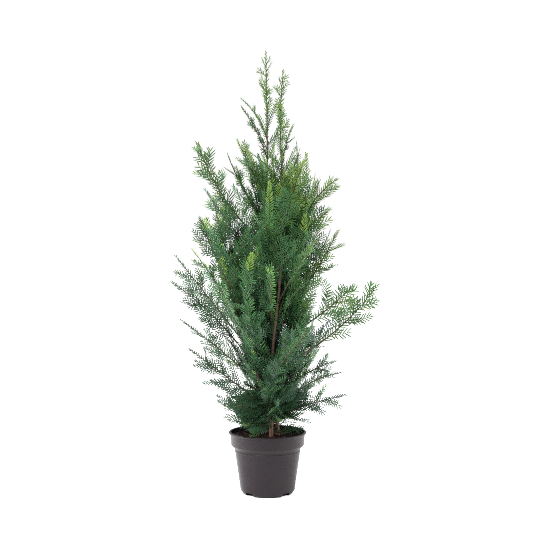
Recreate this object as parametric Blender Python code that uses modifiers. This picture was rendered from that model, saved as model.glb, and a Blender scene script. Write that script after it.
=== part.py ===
"""Potted yew: a young multi-stemmed yew in a round nursery pot, in metres, +Z up.

The origin is the centre of the pot's flat underside. +X is to the right and -Y is the front.
Four stems rise from the soil. Boughs fork from them, and each ends in a mass of foliage: one
main spray with side sprays fused on. A spray is a toothed blade, whose teeth are needles
drawn larger than life.
"""

import math
import random
from dataclasses import dataclass, replace

import bmesh
import bpy
from mathutils import Matrix, Vector
from mathutils.bvhtree import BVHTree

# Pot, a 10 litre nursery container.
POT_HEIGHT = 0.222
RIM_RADIUS = 0.140
BAND_TOP_RADIUS = 0.1345
BAND_FOOT_RADIUS = 0.1320
BAND_HEIGHT = 0.040
LIP_HEIGHT = 0.006
SHOULDER_RADIUS = 0.1195
SHOULDER_DROP = 0.012
WALL_FOOT_RADIUS = 0.098
FOOT_RADIUS = 0.089
FOOT_HEIGHT = 0.014
RIM_EDGE = 0.0014
LIP_TUCK = 0.0008
POT_WALL = 0.0022
POT_SEGMENTS = 40

# Recesses round the pot's foot, each with a drain hole through its inner wall.
RECESS_COUNT = 4
RECESS_START = 45.0
RECESS_INNER = 0.079
RECESS_HEIGHT = 0.013
RECESS_WIDTH = 0.042
RECESS_TOP_SHARE = 0.72
DRAIN_WIDTH = 0.018
DRAIN_LOW = 0.0035
DRAIN_HIGH = 0.0090
CUT_ALLOWANCE = 0.010

# Soil, filled to just below the rim. Neighbours keep the seat gap.
SOIL_TOP = 0.208
SEAT_GAP = 0.0003

# Stems and boughs.
STEM_SIDES = 8
BOUGH_SIDES = 6
STEM_STEP = 0.075
STEM_BURIAL = 0.008
FLARE_HEIGHT = 0.014
FLARE = 1.25
BOUGH_STATIONS = 6
BOUGH_RADIUS = 0.0036
TIP_RADIUS = 0.0021

# Foliage. A spray is a blade with a ridge along its upper face and needles along its edges.
NEEDLE = 0.034
NEEDLE_SWEEP = 0.62
NEEDLE_RAISE = 0.42
BLADE_WIDTH = 0.0125
BLADE_TAPER = 0.55
BLADE_SWELL = 0.22
RIDGE = 0.0016
KEEL = 0.0008
ROOT_WIDTH = 0.0022
MAIN_NEEDLES = 6
LEADER_NEEDLES = 8
SIDE_NEEDLES = 3
MAIN_ROLL = (35.0, 65.0)

# Side sprays, relative to the main one.
SIDE_ANGLE = (34.0, 52.0)
SIDE_TILT = (-0.35, 0.55)
SIDE_ARCH = (-0.02, 0.06)
SIDE_LENGTH = (0.85, 1.12)
SIDE_ROLL = 60.0
SIDE_ZONE = 0.72
SIDE_SHARE = 0.86
BURIED_SHARE = 0.6
GOLDEN_ANGLE = 137.5

# How a spray finds room: shares of its length to try, and turns about the upright, in degrees.
SHRINK_STEPS = (1.0, 0.78, 0.58, 0.42)
LEAST_NEEDLE = 0.7
TURNS = (0, 7, -7, 14, -14, 21, -21, 30, -30)
WIDE_TURNS = (0, 12, -12, 24, -24, 36, -36, 50, -50, 65, -65, 80, -80, 100, -100, 125, -125, 150, -150)
CLEARANCE = 0.0008

# Colours and finishes.
POT_COLOUR = (0.058, 0.052, 0.056, 1.0)
SOIL_COLOUR = (0.012, 0.008, 0.006, 1.0)
BARK_COLOUR = (0.120, 0.068, 0.052, 1.0)
SHADE_COLOUR = (0.020, 0.055, 0.026, 1.0)
LEAF_COLOUR = (0.045, 0.110, 0.040, 1.0)
FRESH_COLOUR = (0.130, 0.240, 0.045, 1.0)


@dataclass(frozen=True)
class Stem:
    """A stem through a few places, each (x, y, z), with its radius at the foot and at the top."""

    name: str
    places: tuple
    foot_radius: float
    top_radius: float
    flared: bool
    parent: str = ""


@dataclass(frozen=True)
class Bough:
    """A bough from a stem: where it forks, where its tip is, and how full its foliage is."""

    name: str
    stem: str
    fork: float
    heading: float
    reach: float
    rise: float
    arch: float = 0.0
    bare: float = 0.0
    sides: int = 3
    spread: float = 0.13
    tint: str = "leaf"
    needle: float = NEEDLE
    turns: tuple = TURNS


@dataclass(frozen=True)
class Leader:
    """The shoot that carries a stem on to its tip."""

    name: str
    stem: str
    tip: tuple
    sides: int
    spread: float
    tint: str
    share: float = 1.0
    whorled: bool = False


STEMS = (
    Stem("stem_front", ((0.013, -0.024, 0.200), (0.017, -0.030, 0.50), (0.042, -0.030, 0.74),
                        (0.054, -0.020, 1.00), (0.047, -0.012, 1.23)),
         0.0068, 0.0022, True),
    Stem("stem_back", ((0.038, 0.006, 0.200), (0.024, 0.018, 0.40), (0.008, 0.020, 0.70),
                       (0.001, 0.010, 1.05), (-0.002, 0.004, 1.32)),
         0.0070, 0.0022, True),
    Stem("stem_left", ((0.012, -0.026, 0.262), (-0.018, -0.026, 0.37), (-0.063, -0.022, 0.517),
                       (-0.128, -0.018, 0.715), (-0.176, -0.016, 0.83)),
         0.0060, 0.0030, False, "stem_front"),
    Stem("stem_right", ((0.034, 0.009, 0.248), (0.074, 0.022, 0.335), (0.088, 0.026, 0.50),
                        (0.104, 0.026, 0.74), (0.128, 0.022, 0.95)),
         0.0062, 0.0030, False, "stem_back"),
)

# The boughs that draw the crown's outline, low to high on each side.
OUTLINE_BOUGHS = (
    Bough("right_skirt", "stem_right", 0.282, -10, 0.282, 0.362, 0.02, 0.0, 4, 0.10),
    Bough("right_low", "stem_right", 0.330, 12, 0.292, 0.420, 0.08, 0.0, 3, 0.10, "shade"),
    Bough("right_lower", "stem_right", 0.385, -14, 0.250, 0.485, 0.05, 0.0, 3, 0.11, "shade"),
    Bough("right_slant", "stem_right", 0.430, 10, 0.272, 0.580, 0.0, 0.0, 4, 0.12, "shade"),
    Bough("right_long", "stem_right", 0.475, -3, 0.392, 0.752, -0.06, 0.25, 5, 0.09),
    Bough("right_broad", "stem_right", 0.580, -16, 0.325, 0.755, -0.03, 0.22, 5, 0.15),
    Bough("right_mid", "stem_right", 0.690, 6, 0.255, 0.945, -0.02, 0.0, 4, 0.12),
    Bough("right_shoulder", "stem_front", 0.900, 22, 0.165, 1.175, 0.0, 0.0, 3, 0.11),
    Bough("right_bright", "stem_front", 0.930, -42, 0.168, 1.187, 0.03, 0.0, 4, 0.12, "fresh"),
    Bough("right_top", "stem_front", 1.050, 20, 0.124, 1.240, 0.0, 0.0, 3, 0.10, "fresh"),
    Bough("right_spire", "stem_front", 1.160, -6, 0.093, 1.325, 0.05, 0.0, 1, 0.06, "leaf", 0.022),
    Bough("left_skirt", "stem_left", 0.284, 187, 0.166, 0.322, 0.06, 0.0, 3, 0.10, "shade"),
    Bough("left_low", "stem_left", 0.315, 174, 0.285, 0.517, 0.0, 0.22, 4, 0.11, "shade"),
    Bough("left_lower", "stem_left", 0.390, 188, 0.315, 0.633, 0.02, 0.0, 4, 0.11, "shade"),
    Bough("left_long", "stem_left", 0.455, 177, 0.345, 0.760, 0.05, 0.25, 4, 0.10),
    Bough("left_broad", "stem_left", 0.520, 191, 0.330, 0.856, 0.0, 0.22, 4, 0.12),
    Bough("left_mid", "stem_left", 0.620, 170, 0.280, 0.880, 0.02, 0.0, 4, 0.12),
    Bough("left_high", "stem_back", 0.800, 186, 0.224, 1.093, -0.02, 0.0, 4, 0.13),
    Bough("left_reach", "stem_back", 0.885, 172, 0.256, 1.262, -0.07, 0.25, 5, 0.12),
    Bough("left_shoulder", "stem_back", 0.960, 196, 0.148, 1.217, -0.04, 0.0, 3, 0.11, "fresh"),
    Bough("left_top", "stem_back", 1.040, 168, 0.113, 1.274, 0.0, 0.0, 3, 0.10, "fresh"),
    Bough("left_horn", "stem_back", 1.270, 160, 0.104, 1.424, 0.08, 0.0, 1, 0.05, "leaf", 0.020),
    Bough("left_spire", "stem_back", 1.200, 196, 0.111, 1.385, 0.06, 0.0, 1, 0.05, "leaf", 0.020),
)

# The shoots at the four stems' ends. A whorled one has side sprays all round it.
LEADERS = (
    Leader("left_leader", "stem_back", (-0.007, 0.002, 1.583), 5, 0.070, "fresh", 0.62, True),
    Leader("right_leader", "stem_front", (0.056, -0.010, 1.520), 5, 0.070, "fresh", 0.62, True),
    Leader("left_crown", "stem_left", (-0.243, -0.014, 0.993), 4, 0.100, "leaf"),
    Leader("right_crown", "stem_right", (0.250, 0.018, 1.132), 4, 0.100, "leaf"),
)

# The boughs that fill the crown's depth, at the front and the back, from low to high.
FILL_PER_FACE = 6
FILL_FORKS = (0.290, 0.950)
FILL_BACK_LIFT = 0.045
FILL_SWING = 27.0
FILL_REACH = 0.365
FILL_REACH_SPAN = (0.27, 0.82)
FILL_CLIMB = 0.235
FILL_SPREAD = 0.130

# Short steep sprays close to the stems, which make the crown dense inside.
INNER_COUNT = 10
INNER_FORKS = (0.236, 0.800)
INNER_HEADING = 262.0
INNER_REACH = 0.105
INNER_CLIMB = (0.085, 0.230)
INNER_SPREAD = 0.110
INNER_NEEDLE = 0.042


def clear_scene():
    """Removes whatever the scene holds."""
    for obj in list(bpy.data.objects):
        bpy.data.objects.remove(obj)


def material(name, colour, roughness):
    """A plain Principled material."""
    made = bpy.data.materials.new(name)
    made.use_nodes = True
    shader = made.node_tree.nodes["Principled BSDF"]
    shader.inputs["Base Color"].default_value = colour
    shader.inputs["Roughness"].default_value = roughness
    shader.inputs["Metallic"].default_value = 0.0
    return made


def collection(name):
    """A new collection in the scene."""
    made = bpy.data.collections.new(name)
    bpy.context.scene.collection.children.link(made)
    return made


def mesh_object(name, mesh, home, finish):
    """An object for a mesh, in a collection, with its material."""
    obj = bpy.data.objects.new(name, mesh)
    home.objects.link(obj)
    if finish:
        mesh.materials.clear()
        mesh.materials.append(finish)
    return obj


def applied(obj):
    """Replaces an object's mesh by its evaluated one, and drops its modifiers."""
    bpy.context.view_layer.update()
    graph = bpy.context.evaluated_depsgraph_get()
    mesh = bpy.data.meshes.new_from_object(obj.evaluated_get(graph))
    obj.modifiers.clear()
    obj.data = mesh
    return obj


def boolean(obj, operation, other, solver="EXACT"):
    """Cuts or joins a mesh object with another object or a collection, and applies it."""
    modifier = obj.modifiers.new(operation.lower(), "BOOLEAN")
    modifier.operation = operation
    modifier.solver = solver
    if isinstance(other, bpy.types.Collection):
        modifier.operand_type = "COLLECTION"
        modifier.collection = other
    else:
        modifier.object = other
    return applied(obj)


def turned(name, profile, home, finish):
    """A solid of revolution about Z. The profile runs down its outer side and ends on the axis."""
    mesh = bpy.data.meshes.new(name)
    points = [(radius, 0.0, height) for radius, height in profile]
    mesh.from_pydata(points, [(i, i + 1) for i in range(len(points) - 1)], [])
    obj = mesh_object(name, mesh, home, finish)
    screw = obj.modifiers.new("turn", "SCREW")
    screw.axis = "Z"
    screw.steps = screw.render_steps = POT_SEGMENTS
    screw.use_merge_vertices = True
    screw.merge_threshold = 0.0001
    return applied(obj)


def block(size, centre, turn, home, top_share=1.0):
    """A cutter box with its top narrowed to a share of its width, turned about Z."""
    bpy.ops.mesh.primitive_cube_add(size=1.0)
    made = bpy.context.active_object
    for vert in made.data.vertices:
        if vert.co.z > 0:
            vert.co.y *= top_share
    made.scale = size
    made.location = Matrix.Rotation(turn, 3, "Z") @ Vector(centre)
    made.rotation_euler = (0, 0, turn)
    for owner in list(made.users_collection):
        owner.objects.unlink(made)
    home.objects.link(made)
    return made


def recess_angles():
    """The headings of the recesses, in radians."""
    return [math.radians(RECESS_START + n * 360.0 / RECESS_COUNT) for n in range(RECESS_COUNT)]


def cut_recesses(obj, grow, cutters):
    """Cuts the recesses round the pot's foot out of a shape, each larger by grow."""
    inner = RECESS_INNER - grow
    outer = WALL_FOOT_RADIUS + CUT_ALLOWANCE
    top = RECESS_HEIGHT + grow
    size = (outer - inner, RECESS_WIDTH + 2 * grow, top + CUT_ALLOWANCE)
    centre = ((outer + inner) / 2, 0, (top - CUT_ALLOWANCE) / 2)
    for angle in recess_angles():
        cutter = block(size, centre, angle, cutters, RECESS_TOP_SHARE)
        boolean(obj, "DIFFERENCE", cutter)
        drop([cutter])


def cut_drains(obj, cutters):
    """Cuts a drain hole through the inner wall of each recess."""
    size = (4 * POT_WALL, DRAIN_WIDTH, DRAIN_HIGH - DRAIN_LOW)
    centre = (RECESS_INNER - POT_WALL / 2, 0, (DRAIN_HIGH + DRAIN_LOW) / 2)
    for angle in recess_angles():
        cutter = block(size, centre, angle, cutters)
        boolean(obj, "DIFFERENCE", cutter)
        drop([cutter])


def drop(objects):
    """Removes helper objects."""
    for obj in objects:
        bpy.data.objects.remove(obj)


def pot_profile():
    """The pot's outer profile, from the rim's top down to the axis."""
    lip_foot = POT_HEIGHT - LIP_HEIGHT
    band_foot = lip_foot - BAND_HEIGHT
    return [
        (0.0, POT_HEIGHT),
        (RIM_RADIUS - RIM_EDGE, POT_HEIGHT),
        (RIM_RADIUS, POT_HEIGHT - RIM_EDGE),
        (RIM_RADIUS, lip_foot + RIM_EDGE),
        (RIM_RADIUS - RIM_EDGE, lip_foot),
        (BAND_TOP_RADIUS, lip_foot - LIP_TUCK),
        (BAND_FOOT_RADIUS, band_foot),
        (SHOULDER_RADIUS, band_foot - SHOULDER_DROP),
        (WALL_FOOT_RADIUS, FOOT_HEIGHT),
        (FOOT_RADIUS, 0.0),
        (0.0, 0.0),
    ]


def hollow_profile(inset, top):
    """The pot's inside, inset from its outer profile, from a level down to the floor."""
    band_foot = POT_HEIGHT - LIP_HEIGHT - BAND_HEIGHT
    shoulder_foot = band_foot - SHOULDER_DROP
    wall_slope = (SHOULDER_RADIUS - WALL_FOOT_RADIUS) / (shoulder_foot - FOOT_HEIGHT)
    band_slope = (BAND_TOP_RADIUS - BAND_FOOT_RADIUS) / BAND_HEIGHT
    return [
        (0.0, top),
        (BAND_FOOT_RADIUS - inset + band_slope * (top - band_foot), top),
        (BAND_FOOT_RADIUS - inset, band_foot),
        (SHOULDER_RADIUS - inset, shoulder_foot),
        (WALL_FOOT_RADIUS - inset - wall_slope * inset, FOOT_HEIGHT + inset),
        (FOOT_RADIUS - inset, inset),
        (0.0, inset),
    ]


def make_pot(home, cutters, finish):
    """The pot: a thin shell with a wide rim band, recesses round its foot and drain holes."""
    pot = turned("pot", pot_profile(), home, finish)
    cut_recesses(pot, 0.0, cutters)
    hollow = turned("hollow", hollow_profile(POT_WALL, POT_HEIGHT + CUT_ALLOWANCE), cutters, None)
    cut_recesses(hollow, POT_WALL, cutters)
    boolean(pot, "DIFFERENCE", hollow)
    drop([hollow])
    cut_drains(pot, cutters)
    pot.data.shade_smooth()
    pot.data.set_sharp_from_angle(angle=math.radians(30))
    return pot


def make_soil(home, cutters, finish):
    """The soil: it fills the pot to just below the rim, the seat gap clear of the wall."""
    soil = turned("soil", hollow_profile(POT_WALL + SEAT_GAP, SOIL_TOP), home, finish)
    cut_recesses(soil, POT_WALL + SEAT_GAP, cutters)
    return soil


def spline(places, count):
    """Points along a smooth curve through the places, evenly spaced in length."""
    places = [Vector(place) for place in places]
    ends = [places[0] * 2 - places[1], *places, places[-1] * 2 - places[-2]]
    fine = []
    for index in range(1, len(ends) - 2):
        a, b, c, d = ends[index - 1 : index + 3]
        for step in range(24):
            t = step / 24
            fine.append(
                0.5 * (2 * b + (c - a) * t + (2 * a - 5 * b + 4 * c - d) * t**2
                       + (3 * b - a - 3 * c + d) * t**3)
            )
    fine.append(places[-1])
    return evenly(fine, count)


def evenly(points, count):
    """The same line with count points, evenly spaced along it."""
    lengths = [0.0]
    for a, b in zip(points, points[1:]):
        lengths.append(lengths[-1] + (b - a).length)
    made = []
    index = 0
    for step in range(count):
        want = lengths[-1] * step / (count - 1)
        while index < len(lengths) - 2 and lengths[index + 1] < want:
            index += 1
        span = max(lengths[index + 1] - lengths[index], 1e-9)
        made.append(points[index].lerp(points[index + 1], (want - lengths[index]) / span))
    return made


def bend(start, control, end, count):
    """Points along a smooth bend that leaves start towards control and comes to end."""
    fine = []
    for step in range(33):
        t = step / 32
        fine.append(start * (1 - t) ** 2 + control * 2 * t * (1 - t) + end * t**2)
    return evenly(fine, count)


def bowed(start, end, arch, count):
    """Points along a bough from start to end. A positive arch bows it up, so its tip nods."""
    chord = end - start
    across = chord.cross(Vector((0, 0, 1))).normalized()
    upward = across.cross(chord).normalized()
    return bend(start, start.lerp(end, 0.5) + upward * arch * chord.length * 2, end, count)


def tube(name, points, radii, sides, home, finish):
    """A tapering limb: a bevelled curve made a mesh, with its caps welded."""
    curve = bpy.data.curves.new(name, "CURVE")
    curve.dimensions = "3D"
    curve.bevel_depth = 1.0
    curve.bevel_resolution = (sides - 4) // 2
    curve.use_fill_caps = True
    line = curve.splines.new("POLY")
    line.points.add(len(points) - 1)
    for target, point, radius in zip(line.points, points, radii):
        target.co = (*point, 1.0)
        target.radius = radius
    guide = bpy.data.objects.new(name + "_line", curve)
    home.objects.link(guide)
    bpy.context.view_layer.update()
    graph = bpy.context.evaluated_depsgraph_get()
    mesh = bpy.data.meshes.new_from_object(guide.evaluated_get(graph))
    bpy.data.objects.remove(guide)
    shape = bmesh.new()
    shape.from_mesh(mesh)
    bmesh.ops.remove_doubles(shape, verts=shape.verts, dist=1e-5)
    bmesh.ops.recalc_face_normals(shape, faces=shape.faces)
    shape.to_mesh(mesh)
    shape.free()
    obj = mesh_object(name, mesh, home, finish)
    mesh.shade_smooth()
    mesh.set_sharp_from_angle(angle=math.radians(50))
    return obj


@dataclass
class Limb:
    """A limb's middle line and its radii."""

    points: list
    radii: list

    def at_height(self, height):
        """The place on the line at a height, and the radius there."""
        for index in range(len(self.points) - 1):
            low, high = self.points[index], self.points[index + 1]
            if low.z <= height <= high.z:
                share = (height - low.z) / (high.z - low.z)
                radius = self.radii[index] * (1 - share) + self.radii[index + 1] * share
                return low.lerp(high, share), radius
        raise ValueError("no place at that height")


def length_of(points):
    """The length of a line."""
    return sum((b - a).length for a, b in zip(points, points[1:]))


def stem_limb(stem):
    """A stem's line and radii. A flared stem widens at the soil, and starts a little below it."""
    count = round(length_of(spline(stem.places, 40)) / STEM_STEP) + 1
    points = spline(stem.places, count)
    if stem.flared:
        points.insert(1, points[0].lerp(points[1], (STEM_BURIAL + FLARE_HEIGHT) / STEM_STEP / 2))
    radii = []
    for point in points:
        share = (point.z - points[0].z) / (points[-1].z - points[0].z)
        radius = stem.foot_radius * (1 - share) + stem.top_radius * share
        if stem.flared:
            radius *= 1 + (FLARE - 1) * math.exp(-(point.z - points[0].z) / FLARE_HEIGHT)
        radii.append(radius)
    return Limb(points, radii)


def trimmed(obj, parent, home):
    """Cuts a root back so that it clears the limb it forks from by the seat gap."""
    radii = [radius + SEAT_GAP * 1.25 for radius in parent.radii]
    cutter = tube("cutter", parent.points, radii, 2 * STEM_SIDES, home, None)
    boolean(obj, "DIFFERENCE", cutter)
    drop([cutter])
    return keep_largest(obj)


def cut_at_soil(obj, home):
    """Cuts a stem's foot flat, just clear of the soil's top."""
    cutter = block((1, 1, 1), (0, 0, SOIL_TOP + SEAT_GAP - 0.5), 0.0, home)
    boolean(obj, "DIFFERENCE", cutter)
    drop([cutter])
    return keep_largest(obj)


def islands(shape):
    """The groups of joined vertices of a shape."""
    unseen = set(shape.verts)
    while unseen:
        group = {unseen.pop()}
        waiting = list(group)
        while waiting:
            vert = waiting.pop()
            near = {edge.other_vert(vert) for edge in vert.link_edges} & unseen
            unseen -= near
            group |= near
            waiting += near
        yield group


def keep_largest(obj):
    """Drops the loose scraps that a cut or a join left, and keeps the main body."""
    shape = bmesh.new()
    shape.from_mesh(obj.data)
    bmesh.ops.remove_doubles(shape, verts=shape.verts, dist=2e-6)
    bmesh.ops.dissolve_degenerate(shape, edges=shape.edges, dist=2e-6)
    groups = sorted(islands(shape), key=len)
    scraps = [vert for group in groups[:-1] for vert in group]
    bmesh.ops.delete(shape, geom=scraps, context="VERTS")
    bmesh.ops.triangulate(shape, faces=shape.faces)
    shape.to_mesh(obj.data)
    shape.free()
    return obj


@dataclass
class Spray:
    """A toothed blade: its line, its way up and its sizes. A buried one starts inside another.

    skipped holds the needles left out, each (segment, side), and no needle length means a
    plain limb.
    """

    points: list
    upward: Vector
    needle: float
    width: float
    buried: bool = False
    skipped: frozenset = frozenset()

    def axes(self, index):
        """The ways ahead, aside and over at a point of the line."""
        before = self.points[max(index - 1, 0)]
        after = self.points[min(index + 1, len(self.points) - 1)]
        ahead = (after - before).normalized()
        side = ahead.cross(self.upward).normalized()
        return ahead, side, side.cross(ahead)

    def half_width(self, share):
        """Half of the blade's width at a share of its length: slim at the root, widest early on."""
        if not self.needle:
            return self.width
        root = ROOT_WIDTH * (BURIED_SHARE if self.buried else 1)
        swell = min(1.0, share / BLADE_SWELL)
        return root + (self.width - root) * swell * (1.0 - BLADE_TAPER * share)

    def ring(self, index, grow):
        """The three corners of the blade's section: its ridge and its two edges."""
        _, side, over = self.axes(index)
        point = self.points[index]
        half = self.half_width(index / (len(self.points) - 1)) + grow
        flat = BURIED_SHARE if self.buried and index == 0 else 1
        below = over * (KEEL * flat + grow)
        return [point + over * (RIDGE * flat + grow), point + side * half - below,
                point - side * half - below]

    def needle_tip(self, index, sign, grow):
        """The tip of one needle, on the side that sign says."""
        share = (index + 0.5) / (len(self.points) - 1)
        ahead, side, over = self.axes(index)
        length = self.needle * (0.62 + 0.38 * math.sin(math.pi * min(1.0, 0.25 + share)))
        length *= 0.93 + 0.07 * math.cos(7.0 * index + sign)
        reach = length + self.half_width(share) + 2 * grow
        middle = self.points[index].lerp(self.points[index + 1], 0.5)
        return middle + (side * sign + over * NEEDLE_RAISE) * reach + ahead * length * NEEDLE_SWEEP

    def shape(self, grow=0.0):
        """Vertices and faces of the blade, larger all round by grow."""
        last = len(self.points) - 1
        verts = []
        for index in range(last):
            verts += self.ring(index, grow)
        verts.append(self.points[-1] + self.axes(last)[0] * grow)
        faces = [(2, 1, 0)]
        for index in range(last):
            low = [3 * index + n for n in range(3)]
            high = [3 * index + 3 + n if index + 1 < last else 3 * last for n in range(3)]
            faces += [(low[1], low[2], high[1]), (low[2], high[2], high[1])]
            for edge, sign in ((1, 1), (2, -1)):
                if index == 0 or not self.needle or (index, sign) in self.skipped:
                    side = [(low[0], low[edge], high[edge]), (low[0], high[edge], high[0])]
                else:
                    tip = len(verts)
                    verts.append(self.needle_tip(index, sign, grow))
                    side = [(low[0], low[edge], tip), (low[0], tip, high[0]),
                            (high[0], tip, high[edge]), (low[edge], high[edge], tip)]
                faces += side if sign == 1 else [tuple(reversed(face)) for face in side]
        return verts, [face for face in faces if len(set(face)) > 2]


def corners(verts):
    """The lowest and highest corner of some points."""
    low = Vector([min(v[i] for v in verts) for i in range(3)])
    high = Vector([max(v[i] for v in verts) for i in range(3)])
    return low, high


class Crowd:
    """What has been placed, so that a new piece can be tested against it."""

    def __init__(self):
        self.placed = []

    def add(self, owner, verts, faces):
        """Remembers a shape."""
        self.placed.append((owner, corners(verts), BVHTree.FromPolygons(verts, faces)))

    def add_object(self, obj):
        """Remembers an object's mesh."""
        verts = [vert.co.copy() for vert in obj.data.vertices]
        self.add(obj.name, verts, [tuple(face.vertices) for face in obj.data.polygons])

    def is_clear(self, owners, verts, faces):
        """Whether a shape touches nothing but what its owners hold."""
        low, high = corners(verts)
        tree = BVHTree.FromPolygons(verts, faces)
        for owner, (other_low, other_high), other in self.placed:
            apart = any(low[i] > other_high[i] or high[i] < other_low[i] for i in range(3))
            if owner not in owners and not apart and tree.overlap(other):
                return False
        return True


@dataclass
class Mass:
    """A mass of foliage to grow: its line and what it forks from or carries on."""

    name: str
    line: list
    carrier: str
    parent: Limb
    sides: int
    spread: float
    tint: str
    needle: float = NEEDLE
    width: float = BLADE_WIDTH
    needles: int = MAIN_NEEDLES
    turns: tuple = TURNS
    whorled: bool = False

    def owners(self):
        """What the mass may touch before its root is trimmed: the limb it forks from."""
        return {self.carrier} if self.parent else set()

    def roll(self):
        """The main spray's roll about its line."""
        dice = random.Random("roll " + self.name)
        return dice.choice((-1, 1)) * dice.uniform(*MAIN_ROLL)

    def main_spray(self, crowd):
        """The main spray, where it finds room."""
        line = evenly(self.line, self.needles + 2)
        spray = Spray(line, upright(line, self.roll()), self.needle, self.width)
        return self.fitted(crowd, spray, self.owners(), self.turns)

    def side_sprays(self, main):
        """The seeded rule for side sprays, each with the needles that make way for it."""
        dice = random.Random("foliage_" + self.name)
        line = main.points
        for index in range(self.sides):
            ring = 1 + round((index + 0.5) * SIDE_ZONE * (len(line) - 1) / self.sides)
            sign = 1 if index % 2 else -1
            ahead = (line[ring + 1] - line[ring - 1]).normalized()
            side = ahead.cross(main.upward).normalized() * sign
            if self.whorled:
                side = Matrix.Rotation(math.radians(GOLDEN_ANGLE * index), 3, ahead) @ side
            angle = math.radians(dice.uniform(*SIDE_ANGLE))
            out = (side + main.upward * dice.uniform(*SIDE_TILT)).normalized()
            length = self.spread * (1.08 - 0.55 * ring / (len(line) - 1)) * dice.uniform(*SIDE_LENGTH)
            end = line[ring] + (ahead * math.cos(angle) + out * math.sin(angle)) * length
            points = bowed(line[ring], end, dice.uniform(*SIDE_ARCH), SIDE_NEEDLES + 2)
            way_up = upright(points, dice.uniform(-SIDE_ROLL, SIDE_ROLL))
            made_way = () if self.whorled else ((ring - 1, sign), (ring, sign))
            yield made_way, Spray(points, way_up, main.needle * SIDE_SHARE, main.width * SIDE_SHARE, True)

    def fitted(self, crowd, spray, owners, turns):
        """The spray as long as it can be while clear of all other pieces, turned if need be."""
        for share in SHRINK_STEPS:
            line = shortened(spray.points, share)
            needle = spray.needle * max(share, LEAST_NEEDLE)
            for turn in turns:
                tried = replace(spray, points=turned_line(line, turn), needle=needle)
                roomy = crowd.is_clear(owners | {self.carrier}, *tried.shape(CLEARANCE))
                if roomy and crowd.is_clear(owners, *tried.shape()):
                    return tried
        return None

    def grow(self, crowd):
        """The sprays that find room: the main one, then its side sprays."""
        main = self.main_spray(crowd)
        if main is None:
            return []
        sides = []
        skipped = set()
        for made_way, side in self.side_sprays(main):
            side = self.fitted(crowd, side, self.owners(), (0,))
            if side:
                sides.append(side)
                skipped.update(made_way)
        made = [replace(main, skipped=frozenset(skipped)), *sides]
        for spray in made:
            crowd.add(self.name, *spray.shape())
        return made


def turned_line(points, turn):
    """A line turned about its start, as seen from above."""
    turning = Matrix.Rotation(math.radians(turn), 3, "Z")
    return [points[0] + turning @ (point - points[0]) for point in points]


def shortened(points, share):
    """The first share of a line, with as many points."""
    fine = evenly(points, 61)
    return evenly(fine[: round(60 * share) + 1], len(points))


def upright(line, roll):
    """A spray's way up: square to its line, turned about it by roll degrees."""
    ahead = (line[-1] - line[0]).normalized()
    over = Vector((0, 0, 1)) - ahead * ahead.z
    if over.length < 0.05:
        over = ahead.cross(Vector((1, 0, 0)))
    return Matrix.Rotation(math.radians(roll), 3, ahead) @ over.normalized()


def spray_object(name, spray, home):
    """One spray as a closed mesh object."""
    verts, faces = spray.shape()
    mesh = bpy.data.meshes.new(name)
    mesh.from_pydata([tuple(vert) for vert in verts], [], faces)
    return mesh_object(name, mesh, home, None)


def fused(name, sprays, home, helpers, finish):
    """One solid from a mass's sprays, by one union on a collection."""
    main = spray_object(name, sprays[0], home)
    main.data.materials.append(finish)
    others = [spray_object(f"{name}_{n}", spray, helpers) for n, spray in enumerate(sprays[1:])]
    if others:
        boolean(main, "UNION", helpers, "MANIFOLD")
    drop(others)
    keep_largest(main)
    main.data.materials.clear()
    main.data.materials.append(finish)
    return main


def between(span, share):
    """The value at a share of the way from a span's first number to its second."""
    return span[0] + (span[1] - span[0]) * share


def fill_boughs():
    """The boughs at the front and the back, swinging left and right as they climb."""
    for face, middle, lift in (("front", -90.0, 0.0), ("back", 90.0, FILL_BACK_LIFT)):
        for index in range(FILL_PER_FACE):
            share = index / (FILL_PER_FACE - 1)
            fork = between(FILL_FORKS, share) + lift
            swing = FILL_SWING * (1 if (index + (face == "back")) % 2 else -1)
            reach = FILL_REACH * math.sin(math.pi * between(FILL_REACH_SPAN, share))
            rise = fork + FILL_CLIMB * (0.75 + 0.25 * math.sin(math.pi * share))
            arch = 0.02 if index % 2 else -0.03
            tint = "shade" if index < 2 else "leaf"
            yield Bough(f"{face}_{index + 1}", fill_stem(face, fork, swing), fork, middle + swing, reach,
                        rise, arch, 0.0, 4, FILL_SPREAD, tint, NEEDLE, WIDE_TURNS)


def fill_stem(face, fork, swing):
    """The stem that a front or back bough forks from: a leaning one lower down on its side."""
    if face == "front":
        return "stem_left" if swing < 0 and 0.30 < fork < 0.78 else "stem_front"
    return "stem_right" if swing < 0 and fork < 0.90 else "stem_back"


def inner_boughs():
    """Short steep sprays that keep close to the stems, turning round them as they climb."""
    stems = ("stem_front", "stem_back", "stem_left", "stem_right")
    for index in range(INNER_COUNT):
        share = index / (INNER_COUNT - 1)
        fork = between(INNER_FORKS, share)
        stem = stems[index % 4 if fork < 0.62 else index % 2]
        heading = INNER_HEADING + index * GOLDEN_ANGLE
        reach = INNER_REACH * (1 - 0.45 * share)
        rise = fork + between(INNER_CLIMB, min(1.0, share * 2.5))
        tint = "shade" if share < 0.5 else "leaf"
        yield Bough(f"inner_{index + 1}", stem, fork, heading, reach, rise, 0.0, 0.0, 4, INNER_SPREAD,
                    tint, INNER_NEEDLE, WIDE_TURNS)


def bough_line(bough, limb, turn):
    """The bough's line, from its fork on the stem to its tip, its heading turned by turn."""
    start, _ = limb.at_height(bough.fork)
    heading = math.radians(bough.heading)
    tip = Vector((bough.reach * math.cos(heading), bough.reach * math.sin(heading), bough.rise))
    return turned_line(bowed(start, tip, bough.arch, 33), turn)


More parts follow.
